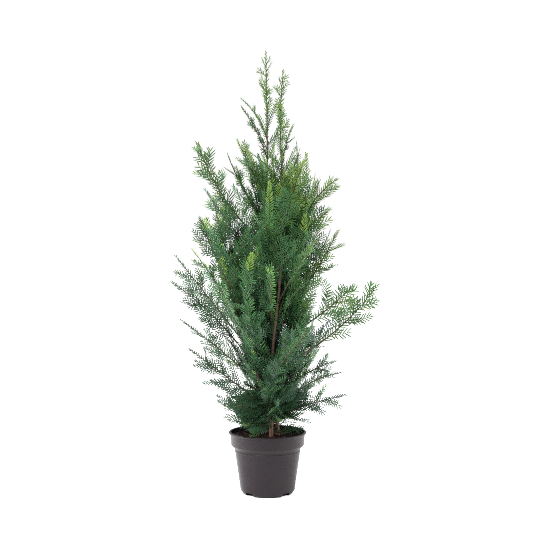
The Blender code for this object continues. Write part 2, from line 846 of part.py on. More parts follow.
def clear_line(crowd, bough, limb):
    """The bough's line at the first turn at which a plain limb along it is clear."""
    for turn in bough.turns:
        line = bough_line(bough, limb, turn)
        probe = Spray(evenly(line, 8), upright(line, 0), 0.0, BOUGH_RADIUS)
        if crowd.is_clear({bough.stem}, *probe.shape(CLEARANCE)):
            return line
    return bough_line(bough, limb, 0)


def bare_bough(bough, line, limb, home, cutters, finish):
    """The bare first part of a bough, as a tapering limb."""
    points = evenly(line, BOUGH_STATIONS)
    _, stem_radius = limb.at_height(bough.fork)
    root = min(BOUGH_RADIUS, stem_radius * 0.8)
    radii = [between((root, TIP_RADIUS), n / (BOUGH_STATIONS - 1)) for n in range(BOUGH_STATIONS)]
    return trimmed(tube("bough_" + bough.name, points, radii, BOUGH_SIDES, home, finish), limb, cutters)


def bough_mass(bough, line, limb, obj):
    """The mass of foliage along a bough: past its bare part, or from the stem itself."""
    carrier, parent = bough.stem, limb
    if obj:
        carrier, parent = obj.name, None
        cut = round(bough.bare * (len(line) - 1))
        ahead = (line[cut + 1] - line[cut]).normalized()
        line = [line[cut] + ahead * SEAT_GAP, *line[cut + 1 :]]
    return Mass(bough.name, line, carrier, parent, bough.sides, bough.spread, bough.tint, bough.needle,
                turns=bough.turns)


def leader_mass(leader, limb):
    """The mass of foliage that carries a stem on to its tip."""
    tip = Vector(leader.tip)
    ahead = (limb.points[-1] - limb.points[-2]).normalized()
    start = limb.points[-1] + ahead * SEAT_GAP
    line = bend(start, start + ahead * (tip - start).length * 0.5, tip, 33)
    return Mass(leader.name, line, leader.stem, None, leader.sides, leader.spread, leader.tint,
                NEEDLE * leader.share, BLADE_WIDTH * leader.share,
                LEADER_NEEDLES if leader.whorled else MAIN_NEEDLES, TURNS, leader.whorled)


def main():
    """Builds the pot, the soil, the stems, the boughs and the masses of foliage."""
    clear_scene()
    home = collection("potted_yew")
    cutters = collection("cutters")
    helpers = collection("sprays_to_join")
    bark = material("yew_bark", BARK_COLOUR, 0.8)
    tints = {
        "shade": material("needles_shade", SHADE_COLOUR, 0.5),
        "leaf": material("needles_leaf", LEAF_COLOUR, 0.5),
        "fresh": material("needles_fresh", FRESH_COLOUR, 0.5),
    }
    crowd = Crowd()
    crowd.add_object(make_pot(home, cutters, material("pot_plastic", POT_COLOUR, 0.45)))
    crowd.add_object(make_soil(home, cutters, material("potting_soil", SOIL_COLOUR, 0.95)))

    limbs = {}
    for stem in STEMS:
        limb = stem_limb(stem)
        limbs[stem.name] = limb
        obj = tube(stem.name, limb.points, limb.radii, STEM_SIDES, home, bark)
        obj = trimmed(obj, limbs[stem.parent], cutters) if stem.parent else cut_at_soil(obj, cutters)
        crowd.add_object(obj)

    masses = [leader_mass(leader, limbs[leader.stem]) for leader in LEADERS]
    for bough in (*OUTLINE_BOUGHS, *inner_boughs(), *fill_boughs()):
        limb = limbs[bough.stem]
        line = clear_line(crowd, bough, limb)
        obj = None
        if bough.bare:
            cut = round(bough.bare * (len(line) - 1))
            obj = bare_bough(bough, line[: cut + 1], limb, home, cutters, bark)
            crowd.add_object(obj)
        masses.append(bough_mass(bough, line, limb, obj))

    for mass in masses:
        sprays = mass.grow(crowd)
        if not sprays:
            continue
        obj = fused("foliage_" + mass.name, sprays, home, helpers, tints[mass.tint])
        if mass.parent:
            trimmed(obj, mass.parent, cutters)
        obj.data.shade_flat()


main()
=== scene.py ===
"""Potted yew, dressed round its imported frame, in metres, +Z up.

The crown grows again by the source's rule: stems, boughs and sprays. Each spray is matched to the
solid that it replaces, and is then carried on to finer twigs and to single needles.
"""

import logging
import math
import random
from collections import defaultdict
from dataclasses import dataclass, field, replace
from enum import Enum
from typing import Callable, Iterator

import bmesh
import bpy
import numpy as np
from mathutils import Matrix, Vector, noise
from mathutils.bvhtree import BVHTree


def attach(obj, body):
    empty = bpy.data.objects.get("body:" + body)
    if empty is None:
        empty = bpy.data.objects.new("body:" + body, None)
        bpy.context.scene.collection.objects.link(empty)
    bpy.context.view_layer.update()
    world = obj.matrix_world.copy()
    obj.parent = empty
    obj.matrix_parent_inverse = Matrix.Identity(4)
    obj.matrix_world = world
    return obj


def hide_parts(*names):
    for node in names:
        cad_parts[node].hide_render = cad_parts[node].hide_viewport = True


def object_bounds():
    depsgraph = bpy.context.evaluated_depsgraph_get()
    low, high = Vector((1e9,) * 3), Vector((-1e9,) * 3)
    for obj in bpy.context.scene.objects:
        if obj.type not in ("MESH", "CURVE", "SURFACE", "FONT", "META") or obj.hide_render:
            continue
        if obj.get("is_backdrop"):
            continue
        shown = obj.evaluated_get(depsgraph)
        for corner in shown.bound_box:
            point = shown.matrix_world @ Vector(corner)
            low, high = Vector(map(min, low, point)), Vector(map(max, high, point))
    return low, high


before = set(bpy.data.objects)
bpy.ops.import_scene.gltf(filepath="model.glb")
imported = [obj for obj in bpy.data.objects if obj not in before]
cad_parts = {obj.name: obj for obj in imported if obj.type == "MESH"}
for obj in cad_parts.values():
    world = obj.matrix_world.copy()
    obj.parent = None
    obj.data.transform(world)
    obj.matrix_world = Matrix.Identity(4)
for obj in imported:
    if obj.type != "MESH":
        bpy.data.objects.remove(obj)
CAD_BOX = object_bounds()

LOG = logging.getLogger("potted_yew")
MOST_TRIANGLES = 190_000
SEAT_GAP = 0.0003
SOIL_TOP = 0.208

# The source's rule: limbs, then sprays, and how a spray was fitted into its room.
STEM_STEP = 0.075
FLARE_HEIGHT = 0.014
FLARE = 1.25
STEM_BURIAL = 0.008
NEEDLE = 0.034
BLADE_WIDTH = 0.0125
BOUGH_RADIUS = 0.0036
TIP_RADIUS = 0.0021
MAIN_NEEDLES = 6
LEADER_NEEDLES = 8
SIDE_NEEDLES = 3
MAIN_ROLL = (35.0, 65.0)
SIDE_ANGLE = (34.0, 52.0)
SIDE_TILT = (-0.35, 0.55)
SIDE_ARCH = (-0.02, 0.06)
SIDE_LENGTH = (0.85, 1.12)
SIDE_ROLL = 60.0
SIDE_ZONE = 0.72
SIDE_SHARE = 0.86
GOLDEN_ANGLE = 137.5
SHRINK_STEPS = (1.0, 0.78, 0.58, 0.42)
LEAST_NEEDLE = 0.7
TURNS = (0, 7, -7, 14, -14, 21, -21, 30, -30)
WIDE_TURNS = (0, 12, -12, 24, -24, 36, -36, 50, -50, 65, -65, 80, -80, 100, -100, 125, -125, 150, -150)
FIT_TOLERANCE = 0.0024

Line = list[Vector]
Colour = tuple[float, float, float]


class Tone(Enum):
    """The plain colour of a spray's needles, dealt out by where the spray is and by a seeded draw. The tones are
    painted light and shade: DEEP and SHADE are painted shade inside the crown, low down, at the left and at the
    back, and BRIGHT and FRESH are painted light up, out, at the right and at the front. The brightest tone is also
    the new growth's own yellower green.
    """

    DEEP = (0.028, 0.078, 0.036)
    SHADE = (0.038, 0.112, 0.045)
    COOL = (0.044, 0.092, 0.060)
    LEAF = (0.048, 0.136, 0.044)
    BRIGHT = (0.072, 0.178, 0.045)
    # The brightest, yellowest tone: painted light on top of the new growth's own fresher colour.
    FRESH = (0.122, 0.226, 0.047)
    TIP = (0.128, 0.232, 0.036)


class Order(Enum):
    """How far a shoot is from the stem, and the finish of its twig."""

    BOUGH = "twigs_old"
    SPRAY = "twigs_green"
    TWIG = "twigs_fine"


@dataclass(frozen=True)
class Stem:
    """A stem through a few places, each (x, y, z), with its radius at the foot and at the top."""

    name: str
    places: tuple
    foot_radius: float
    top_radius: float
    flared: bool
    parent: str = ""


@dataclass(frozen=True)
class Bough:
    """A bough from a stem: where it forks, where its tip is, and how full its foliage is."""

    name: str
    stem: str
    fork: float
    heading: float
    reach: float
    rise: float
    arch: float = 0.0
    bare: float = 0.0
    sides: int = 3
    spread: float = 0.13
    tint: str = "leaf"
    needle: float = NEEDLE
    turns: tuple = TURNS


@dataclass(frozen=True)
class Leader:
    """The shoot that carries a stem on to its tip."""

    name: str
    stem: str
    tip: tuple
    sides: int
    spread: float
    tint: str
    share: float = 1.0
    whorled: bool = False


STEMS = (
    Stem("stem_front", ((0.013, -0.024, 0.200), (0.017, -0.030, 0.50), (0.042, -0.030, 0.74),
                        (0.054, -0.020, 1.00), (0.047, -0.012, 1.23)),
         0.0068, 0.0022, True),
    Stem("stem_back", ((0.038, 0.006, 0.200), (0.024, 0.018, 0.40), (0.008, 0.020, 0.70),
                       (0.001, 0.010, 1.05), (-0.002, 0.004, 1.32)),
         0.0070, 0.0022, True),
    Stem("stem_left", ((0.012, -0.026, 0.262), (-0.018, -0.026, 0.37), (-0.063, -0.022, 0.517),
                       (-0.128, -0.018, 0.715), (-0.176, -0.016, 0.83)),
         0.0060, 0.0030, False, "stem_front"),
    Stem("stem_right", ((0.034, 0.009, 0.248), (0.074, 0.022, 0.335), (0.088, 0.026, 0.50),
                        (0.104, 0.026, 0.74), (0.128, 0.022, 0.95)),
         0.0062, 0.0030, False, "stem_back"),
)

# The boughs that draw the crown's outline, low to high on each side.
OUTLINE_BOUGHS = (
    Bough("right_skirt", "stem_right", 0.282, -10, 0.282, 0.362, 0.02, 0.0, 4, 0.10),
    Bough("right_low", "stem_right", 0.330, 12, 0.292, 0.420, 0.08, 0.0, 3, 0.10, "shade"),
    Bough("right_lower", "stem_right", 0.385, -14, 0.250, 0.485, 0.05, 0.0, 3, 0.11, "shade"),
    Bough("right_slant", "stem_right", 0.430, 10, 0.272, 0.580, 0.0, 0.0, 4, 0.12, "shade"),
    Bough("right_long", "stem_right", 0.475, -3, 0.392, 0.752, -0.06, 0.25, 5, 0.09),
    Bough("right_broad", "stem_right", 0.580, -16, 0.325, 0.755, -0.03, 0.22, 5, 0.15),
    Bough("right_mid", "stem_right", 0.690, 6, 0.255, 0.945, -0.02, 0.0, 4, 0.12),
    Bough("right_shoulder", "stem_front", 0.900, 22, 0.165, 1.175, 0.0, 0.0, 3, 0.11),
    Bough("right_bright", "stem_front", 0.930, -42, 0.168, 1.187, 0.03, 0.0, 4, 0.12, "fresh"),
    Bough("right_top", "stem_front", 1.050, 20, 0.124, 1.240, 0.0, 0.0, 3, 0.10, "fresh"),
    Bough("right_spire", "stem_front", 1.160, -6, 0.093, 1.325, 0.05, 0.0, 1, 0.06, "leaf", 0.022),
    Bough("left_skirt", "stem_left", 0.284, 187, 0.166, 0.322, 0.06, 0.0, 3, 0.10, "shade"),
    Bough("left_low", "stem_left", 0.315, 174, 0.285, 0.517, 0.0, 0.22, 4, 0.11, "shade"),
    Bough("left_lower", "stem_left", 0.390, 188, 0.315, 0.633, 0.02, 0.0, 4, 0.11, "shade"),
    Bough("left_long", "stem_left", 0.455, 177, 0.345, 0.760, 0.05, 0.25, 4, 0.10),
    Bough("left_broad", "stem_left", 0.520, 191, 0.330, 0.856, 0.0, 0.22, 4, 0.12),
    Bough("left_mid", "stem_left", 0.620, 170, 0.280, 0.880, 0.02, 0.0, 4, 0.12),
    Bough("left_high", "stem_back", 0.800, 186, 0.224, 1.093, -0.02, 0.0, 4, 0.13),
    Bough("left_reach", "stem_back", 0.885, 172, 0.256, 1.262, -0.07, 0.25, 5, 0.12),
    Bough("left_shoulder", "stem_back", 0.960, 196, 0.148, 1.217, -0.04, 0.0, 3, 0.11, "fresh"),
    Bough("left_top", "stem_back", 1.040, 168, 0.113, 1.274, 0.0, 0.0, 3, 0.10, "fresh"),
    Bough("left_horn", "stem_back", 1.270, 160, 0.104, 1.424, 0.08, 0.0, 1, 0.05, "leaf", 0.020),
    Bough("left_spire", "stem_back", 1.200, 196, 0.111, 1.385, 0.06, 0.0, 1, 0.05, "leaf", 0.020),
)

# The shoots at the four stems' ends. A whorled one has side sprays all round it.
LEADERS = (
    Leader("left_leader", "stem_back", (-0.007, 0.002, 1.583), 5, 0.070, "fresh", 0.62, True),
    Leader("right_leader", "stem_front", (0.056, -0.010, 1.520), 5, 0.070, "fresh", 0.62, True),
    Leader("left_crown", "stem_left", (-0.243, -0.014, 0.993), 4, 0.100, "leaf"),
    Leader("right_crown", "stem_right", (0.250, 0.018, 1.132), 4, 0.100, "leaf"),
)

# The boughs that fill the crown's depth, at the front and the back, from low to high.
FILL_PER_FACE = 6
FILL_FORKS = (0.290, 0.950)
FILL_BACK_LIFT = 0.045
FILL_SWING = 27.0
FILL_REACH = 0.365
FILL_REACH_SPAN = (0.27, 0.82)
FILL_CLIMB = 0.235
FILL_SPREAD = 0.130

# Short steep sprays close to the stems, which make the crown dense inside.
INNER_COUNT = 10
INNER_FORKS = (0.236, 0.800)
INNER_HEADING = 262.0
INNER_REACH = 0.105
INNER_CLIMB = (0.085, 0.230)
INNER_SPREAD = 0.110
INNER_NEEDLE = 0.042



def between(span: tuple[float, float], share: float) -> float:
    """The value at a share of the way from a span's first number to its second."""
    return span[0] + (span[1] - span[0]) * share


def length_of(points: Line) -> float:
    """The length of a line."""
    return sum((b - a).length for a, b in zip(points, points[1:]))


def evenly(points: Line, count: int) -> Line:
    """The same line with count points, evenly spaced along it."""
    lengths = [0.0]
    for a, b in zip(points, points[1:]):
        lengths.append(lengths[-1] + (b - a).length)
    made = []
    index = 0
    for step in range(count):
        want = lengths[-1] * step / (count - 1)
        while index < len(lengths) - 2 and lengths[index + 1] < want:
            index += 1
        span = max(lengths[index + 1] - lengths[index], 1e-9)
        made.append(points[index].lerp(points[index + 1], (want - lengths[index]) / span))
    return made


def spline(places: tuple, count: int) -> Line:
    """Points along a smooth curve through the places, evenly spaced in length."""
    places = [Vector(place) for place in places]
    ends = [places[0] * 2 - places[1], *places, places[-1] * 2 - places[-2]]
    fine = []
    for index in range(1, len(ends) - 2):
        a, b, c, d = ends[index - 1 : index + 3]
        for step in range(24):
            t = step / 24
            fine.append(
                0.5 * (2 * b + (c - a) * t + (2 * a - 5 * b + 4 * c - d) * t**2
                       + (3 * b - a - 3 * c + d) * t**3)
            )
    fine.append(places[-1])
    return evenly(fine, count)


def bend(start: Vector, control: Vector, end: Vector, count: int) -> Line:
    """Points along a smooth bend that leaves start towards control and comes to end."""
    fine = []
    for step in range(33):
        t = step / 32
        fine.append(start * (1 - t) ** 2 + control * 2 * t * (1 - t) + end * t**2)
    return evenly(fine, count)


def bowed(start: Vector, end: Vector, arch: float, count: int) -> Line:
    """Points from start to end, bowed up by arch times the length, so that the tip nods."""
    chord = end - start
    across = chord.cross(Vector((0, 0, 1))).normalized()
    upward = across.cross(chord).normalized()
    return bend(start, start.lerp(end, 0.5) + upward * arch * chord.length * 2, end, count)


def turned_line(points: Line, turn: float) -> Line:
    """A line turned about its start, as seen from above."""
    turning = Matrix.Rotation(math.radians(turn), 3, "Z")
    return [points[0] + turning @ (point - points[0]) for point in points]


def shortened(points: Line, share: float) -> Line:
    """The first share of a line, with as many points."""
    fine = evenly(points, 61)
    return evenly(fine[: round(60 * share) + 1], len(points))


def upright(line: Line, roll: float) -> Vector:
    """A spray's way up: square to its line, turned about it by roll degrees."""
    ahead = (line[-1] - line[0]).normalized()
    over = Vector((0, 0, 1)) - ahead * ahead.z
    if over.length < 0.05:
        over = ahead.cross(Vector((1, 0, 0)))
    return Matrix.Rotation(math.radians(roll), 3, ahead) @ over.normalized()


def swept(line: Line, ahead: Vector, share: float) -> Line:
    """The line with its outer part swept towards a direction, by a share of the way at its tip."""
    made = [line[0]]
    for index, place in enumerate(line[1:], 1):
        turn = share * index / (len(line) - 1)
        out = place - line[0]
        made.append(line[0] + (out.normalized() * (1 - turn) + ahead * turn).normalized() * out.length)
    return made


def kept_up(line: Line, upward: Vector, roll: float) -> Vector:
    """A twig's way up: its parent's, made square to its line and turned about it by roll degrees."""
    ahead = (line[-1] - line[0]).normalized()
    over = (upward - ahead * upward.dot(ahead)).normalized()
    return Matrix.Rotation(math.radians(roll), 3, ahead) @ over


@dataclass
class Limb:
    """A limb's middle line and its radii."""

    points: Line
    radii: list[float]

    def at_height(self, height: float) -> tuple[Vector, float]:
        """The place on the line at a height, and the radius there."""
        for index in range(len(self.points) - 1):
            low, high = self.points[index], self.points[index + 1]
            if low.z <= height <= high.z:
                share = (height - low.z) / (high.z - low.z)
                radius = self.radii[index] * (1 - share) + self.radii[index + 1] * share
                return low.lerp(high, share), radius
        raise ValueError("no place at that height")


def stem_limb(stem: Stem) -> Limb:
    """A stem's line and radii, as the source has them."""
    count = round(length_of(spline(stem.places, 40)) / STEM_STEP) + 1
    points = spline(stem.places, count)
    if stem.flared:
        points.insert(1, points[0].lerp(points[1], (STEM_BURIAL + FLARE_HEIGHT) / STEM_STEP / 2))
    radii = []
    for point in points:
        share = (point.z - points[0].z) / (points[-1].z - points[0].z)
        radius = stem.foot_radius * (1 - share) + stem.top_radius * share
        if stem.flared:
            radius *= 1 + (FLARE - 1) * math.exp(-(point.z - points[0].z) / FLARE_HEIGHT)
        radii.append(radius)
    return Limb(points, radii)


def fill_boughs() -> Iterator[Bough]:
    """The boughs at the front and the back, swinging left and right as they climb."""
    for face, middle, lift in (("front", -90.0, 0.0), ("back", 90.0, FILL_BACK_LIFT)):
        for index in range(FILL_PER_FACE):
            share = index / (FILL_PER_FACE - 1)
            fork = between(FILL_FORKS, share) + lift
            swing = FILL_SWING * (1 if (index + (face == "back")) % 2 else -1)
            reach = FILL_REACH * math.sin(math.pi * between(FILL_REACH_SPAN, share))
            rise = fork + FILL_CLIMB * (0.75 + 0.25 * math.sin(math.pi * share))
            arch = 0.02 if index % 2 else -0.03
            tint = "shade" if index < 2 else "leaf"
            yield Bough(f"{face}_{index + 1}", fill_stem(face, fork, swing), fork, middle + swing, reach,
                        rise, arch, 0.0, 4, FILL_SPREAD, tint, NEEDLE, WIDE_TURNS)


def fill_stem(face: str, fork: float, swing: float) -> str:
    """The stem that a front or back bough forks from: a leaning one lower down on its side."""
    if face == "front":
        return "stem_left" if swing < 0 and 0.30 < fork < 0.78 else "stem_front"
    return "stem_right" if swing < 0 and fork < 0.90 else "stem_back"


def inner_boughs() -> Iterator[Bough]:
    """Short steep sprays that keep close to the stems, turning round them as they climb."""
    stems = ("stem_front", "stem_back", "stem_left", "stem_right")
    for index in range(INNER_COUNT):
        share = index / (INNER_COUNT - 1)
        fork = between(INNER_FORKS, share)
        stem = stems[index % 4 if fork < 0.62 else index % 2]
        heading = INNER_HEADING + index * GOLDEN_ANGLE
        reach = INNER_REACH * (1 - 0.45 * share)
        rise = fork + between(INNER_CLIMB, min(1.0, share * 2.5))
        tint = "shade" if share < 0.5 else "leaf"
        yield Bough(f"inner_{index + 1}", stem, fork, heading, reach, rise, 0.0, 0.0, 4, INNER_SPREAD,
                    tint, INNER_NEEDLE, WIDE_TURNS)


def bough_line(bough: Bough, limb: Limb, turn: float) -> Line:
    """The bough's line, from its fork on the stem to its tip, its heading turned by turn."""
    start, _ = limb.at_height(bough.fork)
    heading = math.radians(bough.heading)
    tip = Vector((bough.reach * math.cos(heading), bough.reach * math.sin(heading), bough.rise))
    return turned_line(bowed(start, tip, bough.arch, 33), turn)


@dataclass
class Spray:
    """A spray's middle line, its way up and the length of its needles in the source."""

    points: Line
    upward: Vector
    needle: float


class Solid:
    """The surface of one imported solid, to tell which line a spray of it was grown along."""

    def __init__(self, name: str) -> None:
        """Reads the solid's mesh from the frame.

        Args:
            name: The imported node's name.
        """
        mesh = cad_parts[name].data
        verts = [vert.co.copy() for vert in mesh.vertices]
        self.tree = BVHTree.FromPolygons(verts, [tuple(face.vertices) for face in mesh.polygons])

    def holds(self, points: Line) -> bool:
        """Whether the outer part of a line runs inside the solid's thin blades.

        Args:
            points: The line's corners, root first.

        Returns:
            True if each tested place is within the blades' half thickness of the surface.
        """
        tested = points[-1:0:-1]
        tested += [a.lerp(b, 0.5) for a, b in zip(points[-1:1:-1], points[-2:0:-1])]
        return all(self.tree.find_nearest(place, FIT_TOLERANCE)[0] is not None for place in tested)


@dataclass
class Mass:
    """One mass of the source: the lines it may have, and what its sprays are like."""

    name: str
    lines: list[Line]
    sides: int
    spread: float
    tint: str
    needle: float = NEEDLE
    needles: int = MAIN_NEEDLES
    turns: tuple = TURNS
    whorled: bool = False
    chosen: int = 0

    def node(self) -> str:
        """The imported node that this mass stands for."""
        return "foliage_" + self.name

    def side_sprays(self, main: Spray) -> Iterator[Spray]:
        """The source's seeded rule for side sprays.

        Args:
            main: The mass's main spray.

        Returns:
            Each side spray at its full length, in the source's order.
        """
        dice = random.Random("foliage_" + self.name)
        line = main.points
        for index in range(self.sides):
            ring = 1 + round((index + 0.5) * SIDE_ZONE * (len(line) - 1) / self.sides)
            sign = 1 if index % 2 else -1
            ahead = (line[ring + 1] - line[ring - 1]).normalized()
            side = ahead.cross(main.upward).normalized() * sign
            if self.whorled:
                side = Matrix.Rotation(math.radians(GOLDEN_ANGLE * index), 3, ahead) @ side
            angle = math.radians(dice.uniform(*SIDE_ANGLE))
            out = (side + main.upward * dice.uniform(*SIDE_TILT)).normalized()
            length = self.spread * (1.08 - 0.55 * ring / (len(line) - 1)) * dice.uniform(*SIDE_LENGTH)
            end = line[ring] + (ahead * math.cos(angle) + out * math.sin(angle)) * length
            points = bowed(line[ring], end, dice.uniform(*SIDE_ARCH), SIDE_NEEDLES + 2)
            way_up = upright(points, dice.uniform(-SIDE_ROLL, SIDE_ROLL))
            yield Spray(points, way_up, main.needle * SIDE_SHARE)

    def matched(self, solid: Solid) -> list[Spray]:
        """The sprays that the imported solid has: the main one first, then its side sprays.

        Args:
            solid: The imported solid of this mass.

        Returns:
            The sprays, or none where no candidate line lies in the solid.
        """
        dice = random.Random("roll " + self.name)
        roll = dice.choice((-1, 1)) * dice.uniform(*MAIN_ROLL)
        best: list[Spray] = []
        for share in SHRINK_STEPS:
            for number, whole in enumerate(self.lines):
                line = evenly(whole, self.needles + 2)
                way_up = upright(line, roll)
                line = shortened(line, share)
                for turn in self.turns:
                    points = turned_line(line, turn)
                    if not solid.holds(points[2:]):
                        continue
                    main = Spray(points, way_up, self.needle * max(share, LEAST_NEEDLE))
                    sides = [self.fitted(side, solid) for side in self.side_sprays(main)]
                    found = [main, *filter(None, sides)]
                    if len(found) > len(best):
                        best, self.chosen = found, number
            if best:
                break
        return best

    def fitted(self, spray: Spray, solid: Solid) -> Spray | None:
        """The longest share of a side spray that lies in the solid."""
        for share in SHRINK_STEPS:
            points = shortened(spray.points, share)
            if solid.holds(points[1:]):
                return replace(spray, points=points, needle=spray.needle * max(share, LEAST_NEEDLE))
        return None


@dataclass(frozen=True)
class Shoot:
    """One leafy shoot: its line and way up, its twig's radius at the root, and its needles."""

    line: Line
    upward: Vector
    radius: float
    order: Order
    needle: float
    tone: Tone
    mass: str
    leafy_from: float = 0.06
    whorled: bool = False
    new_tip: bool = False


@dataclass(frozen=True)
class FinerGrowth:
    """The source's rule carried on to finer twigs. Lengths in metres, angles in degrees."""

    step: float
    reach: float
    zone: tuple[float, float]
    angle: tuple[float, float] = (38.0, 54.0)
    tilt: tuple[float, float] = (-0.30, 0.60)
    arch: tuple[float, float] = (-0.05, 0.03)
    length: tuple[float, float] = (0.72, 1.12)
    roll: float = 20.0
    taper: float = 0.50
    sweep: float = 0.15
    within: float = 0.80

    def twigs(self, spray: Spray, dice: random.Random, whorled: bool = False) -> Iterator[Spray]:
        """Grows twigs on both sides of a spray, or all round it.

        Args:
            spray: The spray that carries them.
            dice: The seeded source of each draw.
            whorled: True where they stand all round.

        Returns:
            The twigs, from the spray's root to its tip.
        """
        line = evenly(spray.points, 25)
        whole = length_of(line)
        count = max(1, round(whole * (self.zone[1] - self.zone[0]) / self.step))
        for index in range(count):
            share = between(self.zone, (index + 0.5) / count)
            at = min(23, max(1, round(share * 24)))
            sign = 1 if index % 2 else -1
            ahead = (line[at + 1] - line[at - 1]).normalized()
            side = ahead.cross(spray.upward).normalized() * sign
            if whorled:
                side = Matrix.Rotation(math.radians(GOLDEN_ANGLE * index), 3, ahead) @ side
            angle = math.radians(dice.uniform(*self.angle))
            out = (side + spray.upward * dice.uniform(*self.tilt)).normalized()
            length = self.reach * (1 - self.taper * share) * dice.uniform(*self.length)
            length = min(length, (1 - share) * whole * self.within + 0.004)
            end = line[at] + (ahead * math.cos(angle) + out * math.sin(angle)) * length
            points = swept(bowed(line[at], end, dice.uniform(*self.arch), 6), ahead, self.sweep)
            yield Spray(points, kept_up(points, spray.upward, dice.uniform(-self.roll, self.roll)), spray.needle)


# The needles' length on the boughs that draw the outline. Elsewhere it comes from the height.
NEEDLE_LENGTHS = {
    "left_skirt": 0.016, "left_low": 0.017, "left_lower": 0.017, "left_long": 0.019, "left_broad": 0.021,
    "left_mid": 0.022, "left_crown": 0.022, "left_high": 0.025, "left_reach": 0.029,
    "left_shoulder": 0.021, "left_top": 0.020, "left_horn": 0.013, "left_spire": 0.013,
    "right_skirt": 0.018, "right_low": 0.018, "right_lower": 0.019, "right_slant": 0.021,
    "right_long": 0.030, "right_broad": 0.032, "right_mid": 0.022, "right_crown": 0.025,
    "right_shoulder": 0.023, "right_bright": 0.023, "right_top": 0.020, "right_spire": 0.014,
}


# How far apart the twigs stand on the boughs that are leafier than the rest, as a share.
TWIG_SPACING = {"left_reach": 0.85, "left_shoulder": 0.60, "left_top": 0.60, "left_high": 0.95}


@dataclass(frozen=True)
class Infill:
    """Leafy shoots that a stem sends out between its boughs, turning round it as it climbs.

    step is how far apart they leave the stem, span the heights between which they do. reach is a
    share of the crown's radius, and climb how far the tip is above the root. facing is the span of
    headings, in degrees from the plant's right.
    """

    step: float
    span: tuple[float, float]
    reach: tuple[float, float]
    climb: tuple[float, float]
    facing: tuple[float, float] = (0.0, 360.0)


